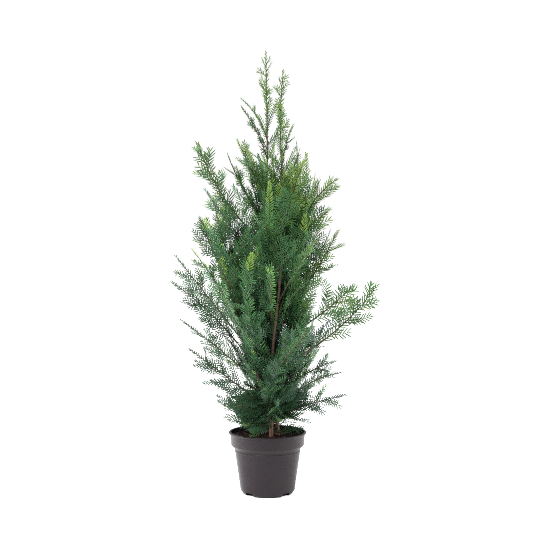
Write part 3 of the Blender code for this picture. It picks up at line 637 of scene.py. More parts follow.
@dataclass
class Crown:
    """The whole crown: stems, boughs, sprays and twigs, and the sizes that rule how full it is."""

    bough_radius: float = 0.0029
    spray_radius: float = 0.0013
    twig_radius: float = 0.0008
    needle: float = 0.030
    leader_needle: float = 0.017
    on_boughs: FinerGrowth = FinerGrowth(0.025, 0.110, (0.04, 0.84), (24.0, 42.0), (-0.35, 0.55))
    on_sprays: FinerGrowth = FinerGrowth(0.036, 0.056, (0.10, 0.70), (26.0, 44.0), (-0.35, 0.55))
    on_infill: FinerGrowth = FinerGrowth(0.030, 0.076, (0.10, 0.72), (24.0, 40.0), (-0.35, 0.55))
    comb_spacing: float = 1.45
    feather_spacing: float = 1.00
    side_share: float = 0.94
    side_within: float = 0.86
    side_sweep: float = 0.15
    on_leaders: FinerGrowth = FinerGrowth(0.026, 0.058, (0.10, 0.88), (28.0, 44.0))
    foot_clear: float = 0.262
    core: Infill = Infill(0.0110, (0.235, 1.00), (0.10, 0.68), (0.15, 0.32))
    skirt: Infill = Infill(0.0038, (0.218, 0.330), (0.30, 0.80), (0.00, 0.10))
    collar: Infill = Infill(0.0190, (1.000, 1.330), (0.18, 0.55), (0.04, 0.11))
    core_depth: float = 0.45
    slender_zone: tuple[float, float] = (0.04, 0.66)
    slender_spray_zone: tuple[float, float] = (0.08, 0.58)
    stem_shows: tuple[float, float] = (0.52, 0.79)
    stem_window: float = 0.022
    apron: Infill = Infill(0.0034, (0.232, 0.310), (0.28, 0.56), (0.0, 0.06), (128.0, 196.0))
    core_widths: tuple = ((0.22, 0.20, 0.15), (0.45, 0.31, 0.23), (0.60, 0.29, 0.30), (0.75, 0.25, 0.28),
                          (0.95, 0.20, 0.24), (1.15, 0.20, 0.22), (1.30, 0.13, 0.13), (1.60, 0.05, 0.05))
    widths: tuple = ((0.22, 0.20), (0.45, 0.31), (0.75, 0.37), (0.95, 0.31), (1.15, 0.24), (1.30, 0.14),
                     (1.60, 0.05))
    limbs: dict[str, Limb] = field(default_factory=dict)
    masses: list[Mass] = field(default_factory=list)
    bare: dict[str, Line] = field(default_factory=dict)
    shoots: list[Shoot] = field(default_factory=list)

    def grow(self) -> None:
        """Grows every limb, spray and twig, in the source's order."""
        self.limbs = {stem.name: stem_limb(stem) for stem in STEMS}
        for leader in LEADERS:
            self.masses.append(self.leader_mass(leader))
        for bough in (*OUTLINE_BOUGHS, *inner_boughs(), *fill_boughs()):
            if "foliage_" + bough.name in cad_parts:
                self.masses.append(self.bough_mass(bough))
        for mass in self.masses:
            self.clothe(mass)
        for infill in (self.core, self.skirt, self.apron, self.collar):
            for stem in STEMS:
                self.clothe_stem(stem, infill)

    def leader_mass(self, leader: Leader) -> Mass:
        """The mass that carries a stem on to its tip."""
        limb = self.limbs[leader.stem]
        tip = Vector(leader.tip)
        ahead = (limb.points[-1] - limb.points[-2]).normalized()
        start = limb.points[-1] + ahead * SEAT_GAP
        line = bend(start, start + ahead * (tip - start).length * 0.5, tip, 33)
        return Mass(leader.name, [line], leader.sides, leader.spread, leader.tint, NEEDLE * leader.share,
                    LEADER_NEEDLES if leader.whorled else MAIN_NEEDLES, TURNS, leader.whorled)

    def bough_mass(self, bough: Bough) -> Mass:
        """The mass along a bough: past its bare part, or from the stem itself."""
        lines = [bough_line(bough, self.limbs[bough.stem], turn) for turn in bough.turns]
        if bough.bare:
            cut = round(bough.bare * 32)
            self.bare[bough.name] = [line[: cut + 1] for line in lines]
            lines = [[line[cut] + (line[cut + 1] - line[cut]).normalized() * SEAT_GAP, *line[cut + 1 :]]
                     for line in lines]
        return Mass(bough.name, lines, bough.sides, bough.spread, bough.tint, bough.needle,
                    turns=bough.turns)

    def clothe(self, mass: Mass) -> None:
        """Carries the sprays of a mass on to finer twigs.

        Args:
            mass: The mass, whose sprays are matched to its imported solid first.
        """
        sprays = mass.matched(Solid(mass.node()))
        if not sprays:
            LOG.warning("%s: no line of the rule lies in its solid", mass.node())
            return
        if mass.name in self.bare:
            self.bare[mass.name] = self.bare[mass.name][mass.chosen]
        dice = random.Random("finer " + mass.name)
        main, *sides = sprays
        slim = mass.whorled
        small = mass.needle < 0.030 and not slim
        vigour = self.vigour(main.points[-1].z)
        combed = NEEDLE_LENGTHS.get(mass.name, self.needle) > 0.0225
        spaced = TWIG_SPACING.get(mass.name, self.comb_spacing if combed else self.feather_spacing)
        finer = self.on_leaders if slim else replace(self.on_boughs, reach=self.on_boughs.reach * vigour,
                                                     step=self.on_boughs.step * spaced)
        finest_twigs = replace(self.on_sprays, reach=self.on_sprays.reach * vigour,
                               step=self.on_sprays.step * spaced)
        if not combed and not slim:
            finer = replace(finer, zone=self.slender_zone)
            finest_twigs = replace(finest_twigs, zone=self.slender_spray_zone, length=(0.55, 0.95))
        if small:
            finer = replace(finer, reach=0.034, step=0.024)
        sides = [self.gathered(side, main) for side in sides]
        self.add(main, Order.BOUGH, self.bough_radius * (0.75 if slim or small else 1.0), mass, dice)
        for side in sides:
            self.add(side, Order.SPRAY, self.spray_radius * 1.15, mass, dice)
            for twig in finest_twigs.twigs(side, dice):
                self.add(twig, Order.TWIG, self.twig_radius, mass, dice)
        for twig in finer.twigs(main, dice, slim):
            self.add(twig, Order.SPRAY, self.spray_radius, mass, dice)
            if not slim and not small and not combed:
                for finest in finest_twigs.twigs(twig, dice):
                    self.add(finest, Order.TWIG, self.twig_radius, mass, dice)

    def clothe_stem(self, stem: Stem, infill: Infill) -> None:
        """Grows the shoots that a stem carries between its boughs.

        Args:
            stem: The stem.
            infill: How they are spaced and how far they reach.
        """
        dice = random.Random(f"{stem.name} {infill.step}")
        limb = self.limbs[stem.name]
        low = max(infill.span[0], limb.points[0].z + 0.012)
        high = min(infill.span[1], limb.points[-1].z - 0.002)
        count = max(0, round((high - low) / infill.step))
        for index in range(count):
            near = Mass(f"{stem.name}_{index}", [], 0, 0.0, "leaf")
            start, _ = limb.at_height(between((low, high), (index + 0.5) / count))
            climb = dice.uniform(*infill.climb)
            turned = GOLDEN_ANGLE * index % 360 / 360
            heading = math.radians(between(infill.facing, turned) + dice.uniform(-25, 25))
            bare = start.z < self.foot_clear and infill is not self.apron or stem.name == "stem_front" and 0.66 < start.z < 0.90
            if bare and math.sin(heading) < -0.35:
                continue
            away = self.core_radius(start.z + climb, heading) * dice.uniform(*infill.reach)
            tip = start * 0.75 + Vector((math.cos(heading), math.sin(heading), 0.0)) * away
            tip.z = start.z + climb
            points = bowed(start, tip, dice.uniform(-0.08, 0.08), 8)
            roll = dice.uniform(-38, 38)
            if infill.climb[0] <= 0:
                roll += math.copysign(30, roll)
            spray = Spray(points, upright(points, roll), self.needle)
            self.add(spray, Order.SPRAY, self.spray_radius * 1.3, near, dice)
            if infill is self.collar:
                continue
            for twig in self.on_infill.twigs(spray, dice):
                self.add(twig, Order.TWIG, self.twig_radius, near, dice)

    def add(self, spray: Spray, order: Order, radius: float, mass: Mass, dice: random.Random) -> None:
        """Keeps a spray as a shoot to build, with the needles' length and tone that its place gives."""
        tip = spray.points[-1]
        tone = self.tone(tip, mass, dice)
        if order is not Order.BOUGH and self.hides_stem(spray):
            return
        needle = self.leader_needle if mass.whorled else NEEDLE_LENGTHS.get(mass.name, self.needle_at(tip.z))
        if order is Order.TWIG:
            needle *= 0.86
        outer = tip.z > 0.80 and (abs(tip.x) > 0.45 * self.crown_radius(tip.z) or tip.z > 1.10)
        self.shoots.append(Shoot(
            line=evenly(spray.points, {Order.BOUGH: 15, Order.SPRAY: 8, Order.TWIG: 5}[order]),
            upward=spray.upward,
            radius=radius,
            order=order,
            needle=needle * dice.uniform(0.88, 1.10),
            tone=tone,
            mass=mass.name,
            leafy_from=0.10 if order is Order.BOUGH else 0.04,
            whorled=mass.whorled and order is Order.BOUGH,
            new_tip=dice.random() < (0.60 if outer else 0.05),
        ))

    def hides_stem(self, spray: Spray) -> bool:
        """Whether a spray passes before the stretch of the front stem that shows."""
        low, high = self.stem_shows
        for point in spray.points:
            if low < point.z < high:
                stem, _ = self.limbs["stem_front"].at_height(point.z)
                if point.y < stem.y and abs(point.x - stem.x) < self.stem_window:
                    return True
        return False

    def gathered(self, side: Spray, main: Spray) -> Spray:
        """A side spray that ends short of the main one's tip and sweeps a little its way."""
        ahead = (main.points[-1] - main.points[0]).normalized()
        left = (main.points[-1] - side.points[0]).length
        share = min(self.side_share, self.side_within * left / length_of(side.points))
        points = swept(evenly(shortened(side.points, share), 8), ahead, self.side_sweep)
        return replace(side, points=points)

    def vigour(self, height: float) -> float:
        """How long the finer twigs are of a mass whose tip is at a height, as a share."""
        return float(np.interp(height, (0.40, 0.70, 1.10, 1.30), (0.72, 1.0, 0.90, 0.55)))

    def needle_at(self, height: float) -> float:
        """The needles' length on a shoot that ends at a height: short low down and at the top."""
        return float(np.interp(height, (0.35, 0.62, 0.80, 1.10, 1.25), (0.018, 0.023, self.needle, 0.024, 0.016)))

    def crown_radius(self, height: float) -> float:
        """How far the crown reaches from the axis at a height."""
        heights, radii = zip(*self.widths)
        return float(np.interp(height, heights, radii))

    def core_radius(self, height: float, heading: float) -> float:
        """How far the stems' own shoots may reach at a height, less on one side than on the other."""
        heights, left, right = zip(*self.core_widths)
        share = (1 + math.cos(heading)) / 2
        radius = np.interp(height, heights, left) * (1 - share) + np.interp(height, heights, right) * share
        return float(radius) * (1 + self.core_depth * math.sin(heading) ** 2)

    def tone(self, place: Vector, mass: Mass, dice: random.Random) -> Tone:
        """The needles' tone, with painted light and shade: darker inside, low down, at the left and at the back,
        lighter up, out, at the right and at the front; cooler low down; fresher up and out, which is partly the
        new growth's own colour and partly painted light.
        """
        outward = math.hypot(place.x, place.y) / self.crown_radius(place.z)
        # Painted light and shade: the needles' colour is made lighter further out, higher up, towards the right
        # and towards the front, and darker inside, low down, at the left and at the back; the mass's tint shifts
        # it further.
        light = 0.12 + 0.34 * outward + 0.72 * (place.z - 0.72) + 0.80 * place.x - 0.50 * place.y
        light += dice.gauss(0.0, 0.12)
        light += random.Random("tone " + mass.name).gauss(0.0, 0.14)
        light += {"fresh": 0.30, "leaf": 0.02, "shade": -0.10}[mass.tint]
        steps = ((0.16, Tone.DEEP), (0.38, Tone.SHADE), (0.76, Tone.LEAF), (1.02, Tone.BRIGHT))
        found = next((tone for limit, tone in steps if light < limit), Tone.FRESH)
        if found in (Tone.SHADE, Tone.LEAF) and place.z < 0.62 and dice.random() < 0.6:
            return Tone.COOL
        return found


@dataclass(frozen=True)
class NeedleShape:
    """One needle: its widest half width, its pitch along the shoot and how it leaves it."""

    half_width: float = 0.00205
    pitch: float = 0.0058
    root_angle: float = 60.0
    tip_angle: float = 26.0
    angle_swing: float = 3.0
    lift: tuple[float, float] = (0.00, 0.26)
    twist: float = 14.0
    sweep: float = 0.24
    droop: float = 0.04
    tip_from: float = 0.74

    def corners(self, shoot: Shoot, seed: int) -> tuple[np.ndarray, np.ndarray]:
        """The corners of a shoot's needles, from numpy arrays.

        Args:
            shoot: The shoot that carries them.
            seed: The seed of its draws.

        Returns:
            The corners, seven for each needle, and each needle's share along the shoot.
        """
        dice = np.random.default_rng(seed)
        line = np.array(shoot.line)
        steps = np.linalg.norm(np.diff(line, axis=0), axis=1)
        along = np.concatenate(([0.0], np.cumsum(steps)))
        size = float(np.clip(shoot.needle / 0.029, 0.86, 1.1))
        count = max(6, int(along[-1] * (1 - shoot.leafy_from) / (self.pitch * size**1.4)))
        share = shoot.leafy_from + (1 - shoot.leafy_from) * (np.arange(count) + 0.5) / count
        share = np.clip(share + dice.uniform(-0.3, 0.3, count) / count, 0.0, 1.0)
        want = share * along[-1]
        root = np.stack([np.interp(want, along, line[:, axis]) for axis in range(3)], axis=1)
        slope = np.gradient(line, axis=0)
        ahead = unit(np.stack([np.interp(want, along, slope[:, axis]) for axis in range(3)], axis=1))
        side = unit(np.cross(ahead, np.array(shoot.upward)))
        over = np.cross(side, ahead)
        sign = np.where(np.arange(count) % 2 == 0, 1.0, -1.0)
        lift = dice.uniform(*self.lift, count)
        if shoot.whorled:
            around = np.radians(GOLDEN_ANGLE) * np.arange(count)
            aside = side * np.cos(around)[:, None] + over * np.sin(around)[:, None]
        else:
            aside = side * (sign * np.cos(lift))[:, None] + over * np.sin(lift)[:, None]
        angle = np.interp(share, (0.0, 0.75, 1.0), (self.root_angle, self.root_angle - 8, self.tip_angle))
        angle = np.radians(angle + dice.normal(0.0, self.angle_swing, count))
        out = aside * np.sin(angle)[:, None] + ahead * np.cos(angle)[:, None]
        across = unit(ahead - out * (ahead * out).sum(axis=1)[:, None])
        face = np.cross(out, across)
        twist = np.radians(dice.uniform(-self.twist, self.twist, count))[:, None]
        across, face = across * np.cos(twist) + face * np.sin(twist), face * np.cos(twist) - across * np.sin(twist)
        length = shoot.needle * np.interp(share, (0.0, 0.15, 0.55, 0.85, 1.0), (0.62, 0.92, 1.0, 0.80, 0.45))
        length = (length * dice.uniform(0.85, 1.08, count))[:, None]
        half = across * self.half_width * size
        bow = ahead * self.sweep - face * self.droop
        places = []
        for part, wide in ((0.0, 0.40), (0.16, 1.0), (0.78, 0.88)):
            middle = root + out * length * part + bow * length * part**2
            places += [middle - half * wide, middle + half * wide]
        places.append(root + (out + bow) * length)
        return np.stack(places, axis=1), share


def unit(rows: np.ndarray) -> np.ndarray:
    """Each row scaled to length one."""
    return rows / np.maximum(np.linalg.norm(rows, axis=1, keepdims=True), 1e-9)


def joined(name: str, verts: list[np.ndarray], faces: list[np.ndarray], smooth: bool) -> bpy.types.Object:
    """One mesh object from many small arrays.

    Args:
        name: The piece's name.
        verts: Arrays of corners.
        faces: Arrays of triangles, each counted from its own array's first corner.
        smooth: Whether the faces are shaded smooth.

    Returns:
        The object, linked to the scene.
    """
    starts = np.cumsum([0] + [len(block) for block in verts[:-1]])
    mesh = bpy.data.meshes.new(name)
    mesh.from_pydata(np.concatenate(verts), [], np.concatenate([f + s for f, s in zip(faces, starts)]))
    if smooth:
        mesh.shade_smooth()
    obj = bpy.data.objects.new(name, mesh)
    bpy.context.scene.collection.objects.link(obj)
    return obj


def tube(shoot: Shoot, sides: int) -> tuple[np.ndarray, np.ndarray]:
    """A shoot's twig as a tapering tube that comes to a point, with its root closed.

    Args:
        shoot: The shoot.
        sides: The number of faces round it.

    Returns:
        Its corners and its triangles.
    """
    line = np.array(shoot.line)
    ahead = unit(np.gradient(line, axis=0))
    side = unit(np.cross(ahead, np.array(shoot.upward)))
    over = np.cross(side, ahead)
    around = np.arange(sides) * 2 * math.pi / sides
    ring = side[:, None] * np.cos(around)[None, :, None] + over[:, None] * np.sin(around)[None, :, None]
    radius = shoot.radius * np.linspace(1.0, 0.42, len(line))
    corners = (line[:, None] + ring * radius[:, None, None])[:-1].reshape(-1, 3)
    corners = np.concatenate([corners, line[-1:], line[:1]])
    tip, root = len(corners) - 2, len(corners) - 1
    faces = []
    for row in range(len(line) - 1):
        for n in range(sides):
            a, b = row * sides + n, row * sides + (n + 1) % sides
            if row == 0:
                faces.append((root, b, a))
            if row == len(line) - 2:
                faces.append((a, b, tip))
            else:
                faces += [(a, b, b + sides), (a, b + sides, a + sides)]
    return corners, np.array(faces)


class Effects:
    """The shader node groups that several finishes share, each built once."""

    def __init__(self) -> None:
        """Builds the groups."""
        self.patches = self.build_patches()
        self.relief = self.build_relief()

    @staticmethod
    def group(name: str, ins: dict[str, object], outs: dict[str, str]) -> bpy.types.NodeTree:
        """An empty node group with its named sockets.

        Args:
            name: The group's name.
            ins: Each input's name and its first value, a number or a colour.
            outs: Each output's name and its socket type.

        Returns:
            The group, with its input and output nodes placed.
        """
        tree = bpy.data.node_groups.new(name, "ShaderNodeTree")
        for label, value in ins.items():
            kind = {1: "NodeSocketFloat", 3: "NodeSocketVector", 4: "NodeSocketColor"}[np.size(value)]
            tree.interface.new_socket(label, in_out="INPUT", socket_type=kind).default_value = value
        for label, kind in outs.items():
            tree.interface.new_socket(label, in_out="OUTPUT", socket_type=kind)
        tree.nodes.new("NodeGroupInput").name = "in"
        tree.nodes.new("NodeGroupOutput").name = "out"
        return tree

    @staticmethod
    def stretched_place(tree: bpy.types.NodeTree) -> bpy.types.NodeSocket:
        """The object's own coordinates, stretched by the group's Stretch input."""
        place = tree.nodes.new("ShaderNodeTexCoord")
        mapping = tree.nodes.new("ShaderNodeMapping")
        tree.links.new(place.outputs["Object"], mapping.inputs["Vector"])
        tree.links.new(tree.nodes["in"].outputs["Stretch"], mapping.inputs["Scale"])
        return mapping.outputs["Vector"]

    def build_patches(self) -> bpy.types.NodeTree:
        """Soft patches of an accent over a base colour, and a roughness that varies with them."""
        tree = self.group(
            "soft_patches",
            {"Base": (0.5, 0.5, 0.5, 1.0), "Accent": (0.2, 0.2, 0.2, 1.0), "Scale": 40.0, "Share": 0.5,
             "Stretch": (1.0, 1.0, 1.0), "Roughness": 0.5, "Swing": 0.1},
            {"Color": "NodeSocketColor", "Roughness": "NodeSocketFloat"},
        )
        given, links = tree.nodes["in"].outputs, tree.links
        cloud = tree.nodes.new("ShaderNodeTexNoise")
        cloud.inputs["Detail"].default_value = 4.0
        links.new(self.stretched_place(tree), cloud.inputs["Vector"])
        links.new(given["Scale"], cloud.inputs["Scale"])
        spread = tree.nodes.new("ShaderNodeMapRange")
        spread.inputs["From Min"].default_value = 0.35
        spread.inputs["From Max"].default_value = 0.68
        links.new(cloud.outputs["Fac"], spread.inputs["Value"])
        links.new(given["Share"], spread.inputs["To Max"])
        mix = tree.nodes.new("ShaderNodeMix")
        mix.data_type = "RGBA"
        links.new(spread.outputs["Result"], mix.inputs["Factor"])
        links.new(given["Base"], mix.inputs["A"])
        links.new(given["Accent"], mix.inputs["B"])
        rough = tree.nodes.new("ShaderNodeMath")
        rough.operation = "MULTIPLY_ADD"
        links.new(spread.outputs["Result"], rough.inputs[0])
        links.new(given["Swing"], rough.inputs[1])
        links.new(given["Roughness"], rough.inputs[2])
        links.new(mix.outputs["Result"], tree.nodes["out"].inputs["Color"])
        links.new(rough.outputs["Value"], tree.nodes["out"].inputs["Roughness"])
        return tree

    def build_relief(self) -> bpy.types.NodeTree:
        """A fine relief, for the Height of a Bump node."""
        tree = self.group("fine_relief", {"Scale": 400.0, "Stretch": (1.0, 1.0, 1.0)},
                          {"Height": "NodeSocketFloat"})
        cloud = tree.nodes.new("ShaderNodeTexNoise")
        cloud.inputs["Detail"].default_value = 6.0
        tree.links.new(self.stretched_place(tree), cloud.inputs["Vector"])
        tree.links.new(tree.nodes["in"].outputs["Scale"], cloud.inputs["Scale"])
        tree.links.new(cloud.outputs["Fac"], tree.nodes["out"].inputs["Height"])
        return tree


@dataclass(frozen=True)
class Finish:
    """How a surface looks: two colours in soft patches, its roughness and its fine relief."""

    name: str
    slot: str
    base: Colour
    accent: Colour
    patch_scale: float
    patch_share: float
    roughness: float
    rough_swing: float
    relief_scale: float
    relief_depth: float
    relief_strength: float = 1.0
    stretch: tuple[float, float, float] = (1.0, 1.0, 1.0)
    specular: float = 0.5

    def material(self, effects: Effects) -> bpy.types.Material:
        """The node material of this finish.

        Args:
            effects: The shared node groups.

        Returns:
            The material.
        """
        made = bpy.data.materials.new(self.name)
        made.use_nodes = True
        nodes, links = made.node_tree.nodes, made.node_tree.links
        shader = nodes["Principled BSDF"]
        shader.inputs["Specular IOR Level"].default_value = self.specular
        patches = nodes.new("ShaderNodeGroup")
        patches.node_tree = effects.patches
        values = {"Base": (*self.base, 1.0), "Accent": (*self.accent, 1.0), "Scale": self.patch_scale,
                  "Share": self.patch_share, "Stretch": self.stretch, "Roughness": self.roughness,
                  "Swing": self.rough_swing}
        for label, value in values.items():
            patches.inputs[label].default_value = value
        links.new(patches.outputs["Color"], shader.inputs["Base Color"])
        links.new(patches.outputs["Roughness"], shader.inputs["Roughness"])
        relief = nodes.new("ShaderNodeGroup")
        relief.node_tree = effects.relief
        relief.inputs["Scale"].default_value = self.relief_scale
        relief.inputs["Stretch"].default_value = self.stretch
        bump = nodes.new("ShaderNodeBump")
        bump.inputs["Distance"].default_value = self.relief_depth
        bump.inputs["Strength"].default_value = self.relief_strength
        links.new(relief.outputs["Height"], bump.inputs["Height"])
        links.new(bump.outputs["Normal"], shader.inputs["Normal"])
        return made


def needle_finish(tone: Tone) -> Finish:
    """The waxy finish of the needles of one tone, a plain colour with a faint paler patching."""
    red, green, blue = tone.value
    return Finish("needles_" + tone.name.lower(), "needles", tone.value,
                  (red * 1.25, green * 1.12, blue * 1.2), 55.0, 0.6, 0.42, 0.10, 900.0, 0.0001, 0.3,
                  specular=0.18)


POT_PLASTIC = Finish("satin_pot_plastic", "pot_plastic", (0.0125, 0.0082, 0.0106), (0.0165, 0.0112, 0.0140),
                     14.0, 0.7, 0.26, 0.05, 110.0, 0.00004, 0.10, specular=0.28)
POTTING_SOIL = Finish("potting_soil", "potting_soil", (0.007, 0.0035, 0.0025), (0.020, 0.009, 0.006),
                      160.0, 0.9, 0.92, 0.05, 900.0, 0.0012, specular=0.08)
SOIL_CRUMBS = Finish("soil_crumbs", "potting_soil", (0.010, 0.0045, 0.003), (0.040, 0.020, 0.012),
                     60.0, 1.0, 0.88, 0.08, 1200.0, 0.0006, specular=0.08)
YEW_BARK = Finish("yew_bark", "yew_bark", (0.330, 0.190, 0.160), (0.150, 0.088, 0.074),
                  70.0, 1.0, 0.78, 0.12, 420.0, 0.0008, stretch=(1.0, 1.0, 0.22), specular=0.3)
TWIG_FINISHES = {
    Order.BOUGH: Finish("twig_old", "yew_bark", (0.070, 0.048, 0.032), (0.040, 0.040, 0.022),
                        60.0, 0.9, 0.72, 0.10, 700.0, 0.0003),
    Order.SPRAY: Finish("twig_green", "yew_bark", (0.050, 0.072, 0.026), (0.070, 0.055, 0.026),
                        45.0, 0.8, 0.62, 0.10, 800.0, 0.0002),
    Order.TWIG: Finish("twig_fine", "yew_bark", (0.060, 0.105, 0.032), (0.050, 0.085, 0.030),
                       45.0, 0.8, 0.55, 0.10, 800.0, 0.0001),
}


def deselect() -> None:
    """Leaves edit mode and deselects every object."""
    if bpy.context.mode != "OBJECT":
        bpy.ops.object.mode_set(mode="OBJECT")
    bpy.ops.object.select_all(action="DESELECT")


def active(name: str) -> bpy.types.Object:
    """The primitive just added, named, with its place put into its mesh."""
    obj = bpy.context.active_object
    obj.name = obj.data.name = name
    bpy.ops.object.transform_apply(location=True, rotation=True, scale=True)
    return obj


def apply_modifiers(obj: bpy.types.Object) -> None:
    """Applies all of an object's modifiers, in their order."""
    deselect()
    obj.select_set(True)
    bpy.context.view_layer.objects.active = obj
    for modifier in list(obj.modifiers):
        bpy.ops.object.modifier_apply(modifier=modifier.name)


def drop(*objects: bpy.types.Object) -> None:
    """Removes helper objects."""
    for obj in objects:
        bpy.data.objects.remove(obj)


def smooth_by_angle(obj: bpy.types.Object, degrees: float) -> None:
    """Shades an object smooth, with edges over an angle kept sharp."""
    deselect()
    obj.select_set(True)
    bpy.context.view_layer.objects.active = obj
    bpy.ops.object.shade_smooth_by_angle(angle=math.radians(degrees))


def place(obj: bpy.types.Object, finish: Finish, effects: Effects, nodes: list[str]) -> None:
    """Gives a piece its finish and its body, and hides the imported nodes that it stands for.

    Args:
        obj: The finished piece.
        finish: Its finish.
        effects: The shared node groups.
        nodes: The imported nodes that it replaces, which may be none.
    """
    obj.data.materials.clear()
    made = bpy.data.materials.get(finish.name) or finish.material(effects)
    obj.data.materials.append(made)
    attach(obj, "root")
    if nodes:
        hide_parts(*nodes)
    obj.data.calc_loop_triangles()
    LOG.info("%s: %d triangles", obj.name, len(obj.data.loop_triangles))


@dataclass
class Pot:
    """The round nursery pot: a thin moulded shell with a wide rim band and four foot recesses."""

    height: float = 0.222
    rim_radius: float = 0.140
    band_top_radius: float = 0.1345
    band_foot_radius: float = 0.1320
    band_height: float = 0.040
    lip_height: float = 0.006
    shoulder_radius: float = 0.1195
    shoulder_drop: float = 0.012
    wall_foot_radius: float = 0.098
    foot_radius: float = 0.089
    foot_height: float = 0.014
    wall: float = 0.0022
    round_off: float = 0.0012
    bead: float = 0.0009
    segments: int = 112
    recess_start: float = 45.0
    recess_inner: float = 0.079
    recess_height: float = 0.013
    recess_width: float = 0.042
    recess_top_share: float = 0.72
    drain_width: float = 0.018
    drain_levels: tuple[float, float] = (0.0035, 0.0090)

    def outside(self) -> list[tuple[float, float]]:
        """The outer profile from the foot up, each (radius, level), with its edges rounded."""
        lip_foot = self.height - self.lip_height
        band_foot = lip_foot - self.band_height
        shoulder = band_foot - self.shoulder_drop
        soft, bead = self.round_off, self.bead
        slope = (self.shoulder_radius - self.wall_foot_radius) / (shoulder - self.foot_height)
        return [
            (self.foot_radius - soft, 0.0), (self.foot_radius + soft * 0.4, soft * 0.8),
            (self.wall_foot_radius - soft * 0.4, self.foot_height - soft),
            (self.wall_foot_radius + slope * soft, self.foot_height + soft),
            (self.shoulder_radius - slope * 0.012, shoulder - 0.012),
            (self.shoulder_radius - slope * 0.0105 + bead, shoulder - 0.0105),
            (self.shoulder_radius - slope * 0.0075 + bead, shoulder - 0.0075),
            (self.shoulder_radius - slope * 0.006, shoulder - 0.006),
            (self.shoulder_radius - slope * soft, shoulder - soft),
            (self.shoulder_radius + soft, shoulder + soft),
            (self.band_foot_radius - soft * 1.2, band_foot - soft * 1.1),
            (self.band_foot_radius, band_foot + soft * 0.6),
            (self.band_top_radius, lip_foot - 0.0024),
            (self.band_top_radius + 0.0004, lip_foot - 0.0008),
            (self.rim_radius - soft, lip_foot), (self.rim_radius, lip_foot + soft),
            (self.rim_radius, self.height - soft), (self.rim_radius - soft, self.height),
            (self.band_top_radius - self.wall + 0.0012, self.height),
        ]

    def inside(self, inset: float, top: float) -> list[tuple[float, float]]:
        """The inner profile from the floor up to a level, inset from the outer one."""
        band_foot = self.height - self.lip_height - self.band_height
        shoulder = band_foot - self.shoulder_drop
        wall_slope = (self.shoulder_radius - self.wall_foot_radius) / (shoulder - self.foot_height)
        band_slope = (self.band_top_radius - self.band_foot_radius) / self.band_height
        return [
            (self.foot_radius - inset, inset),
            (self.wall_foot_radius - inset - wall_slope * inset, self.foot_height + inset),
            (self.shoulder_radius - inset, shoulder),
            (self.band_foot_radius - inset, band_foot),
            (self.band_foot_radius - inset + band_slope * (top - band_foot), top),
        ]

    def lathed(self, name: str, profile: list[tuple[float, float]]) -> bpy.types.Object:
        """A solid of revolution, extruded up from a disc and resized at each level."""
        deselect()
        radius, level = profile[0]
        bpy.ops.mesh.primitive_circle_add(vertices=self.segments, radius=radius, fill_type="NGON",
                                          location=(0, 0, level))
        obj = active(name)
        bpy.ops.object.mode_set(mode="EDIT")
        bpy.ops.mesh.select_all(action="SELECT")
        for next_radius, next_level in profile[1:]:
            bpy.ops.mesh.extrude_region_move(
                TRANSFORM_OT_translate={"value": (0, 0, next_level - level)})
            share = next_radius / radius
            bpy.ops.transform.resize(value=(share, share, 1), center_override=(0, 0, next_level))
            radius, level = next_radius, next_level
        bpy.ops.mesh.select_all(action="SELECT")
        bpy.ops.mesh.normals_make_consistent(inside=False)
        bpy.ops.object.mode_set(mode="OBJECT")
        return obj

    def block(self, size: Vector, centre: Vector, angle: float, top_share: float) -> bpy.types.Object:
        """A cutter turned to a heading, with its top narrowed to a share of its width."""
        deselect()
        turning = Matrix.Rotation(angle, 3, "Z")
        bpy.ops.mesh.primitive_cube_add(size=1.0)
        cutter = active("cutter")
        bpy.ops.object.mode_set(mode="EDIT")
        bpy.ops.mesh.select_all(action="DESELECT")
        shape = bmesh.from_edit_mesh(cutter.data)
        for vert in shape.verts:
            vert.select_set(vert.co.z > 0)
        shape.select_flush_mode()
        bpy.ops.transform.resize(value=(1, top_share, 1), center_override=(0, 0, 0.5))
        bpy.ops.object.mode_set(mode="OBJECT")
        cutter.data.transform(Matrix.Translation(turning @ centre) @ turning.to_4x4()
                              @ Matrix.Diagonal((*size, 1.0)))
        return cutter

    def cut(self, obj: bpy.types.Object, size: Vector, centre: Vector, top_share: float = 1.0) -> None:
        """Cuts the same block out of a shape at each recess's heading."""
        for number in range(4):
            angle = math.radians(self.recess_start + 90 * number)
            cutter = self.block(size, centre, angle, top_share)
            self.subtract(obj, cutter)

    @staticmethod
    def subtract(obj: bpy.types.Object, cutter: bpy.types.Object) -> None:
        """Cuts one shape out of another and removes the cutter."""
        modifier = obj.modifiers.new("cut", "BOOLEAN")
        modifier.operation, modifier.object, modifier.solver = "DIFFERENCE", cutter, "EXACT"
        apply_modifiers(obj)
        drop(cutter)

    def cut_recesses(self, obj: bpy.types.Object, grow: float) -> None:
        """Cuts the four recesses round the foot, each larger by grow."""
        inner, outer = self.recess_inner - grow, self.wall_foot_radius + 0.010
        top = self.recess_height + grow
        size = Vector((outer - inner, self.recess_width + 2 * grow, top + 0.010))
        self.cut(obj, size, Vector(((outer + inner) / 2, 0, (top - 0.010) / 2)), self.recess_top_share)

    def build(self, effects: Effects) -> None:
        """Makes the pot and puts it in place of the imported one."""
        pot = self.lathed("pot_shell", self.outside())
        hollow = self.lathed("hollow", self.inside(self.wall, self.height + 0.010))
        self.cut_recesses(pot, 0.0)
        self.cut_recesses(hollow, self.wall)
        self.subtract(pot, hollow)
        low, high = self.drain_levels
        self.cut(pot, Vector((4 * self.wall, self.drain_width, high - low)),
                 Vector((self.recess_inner - self.wall / 2, 0, (high + low) / 2)))
        smooth_by_angle(pot, 28)
        place(pot, POT_PLASTIC, effects, ["pot"])


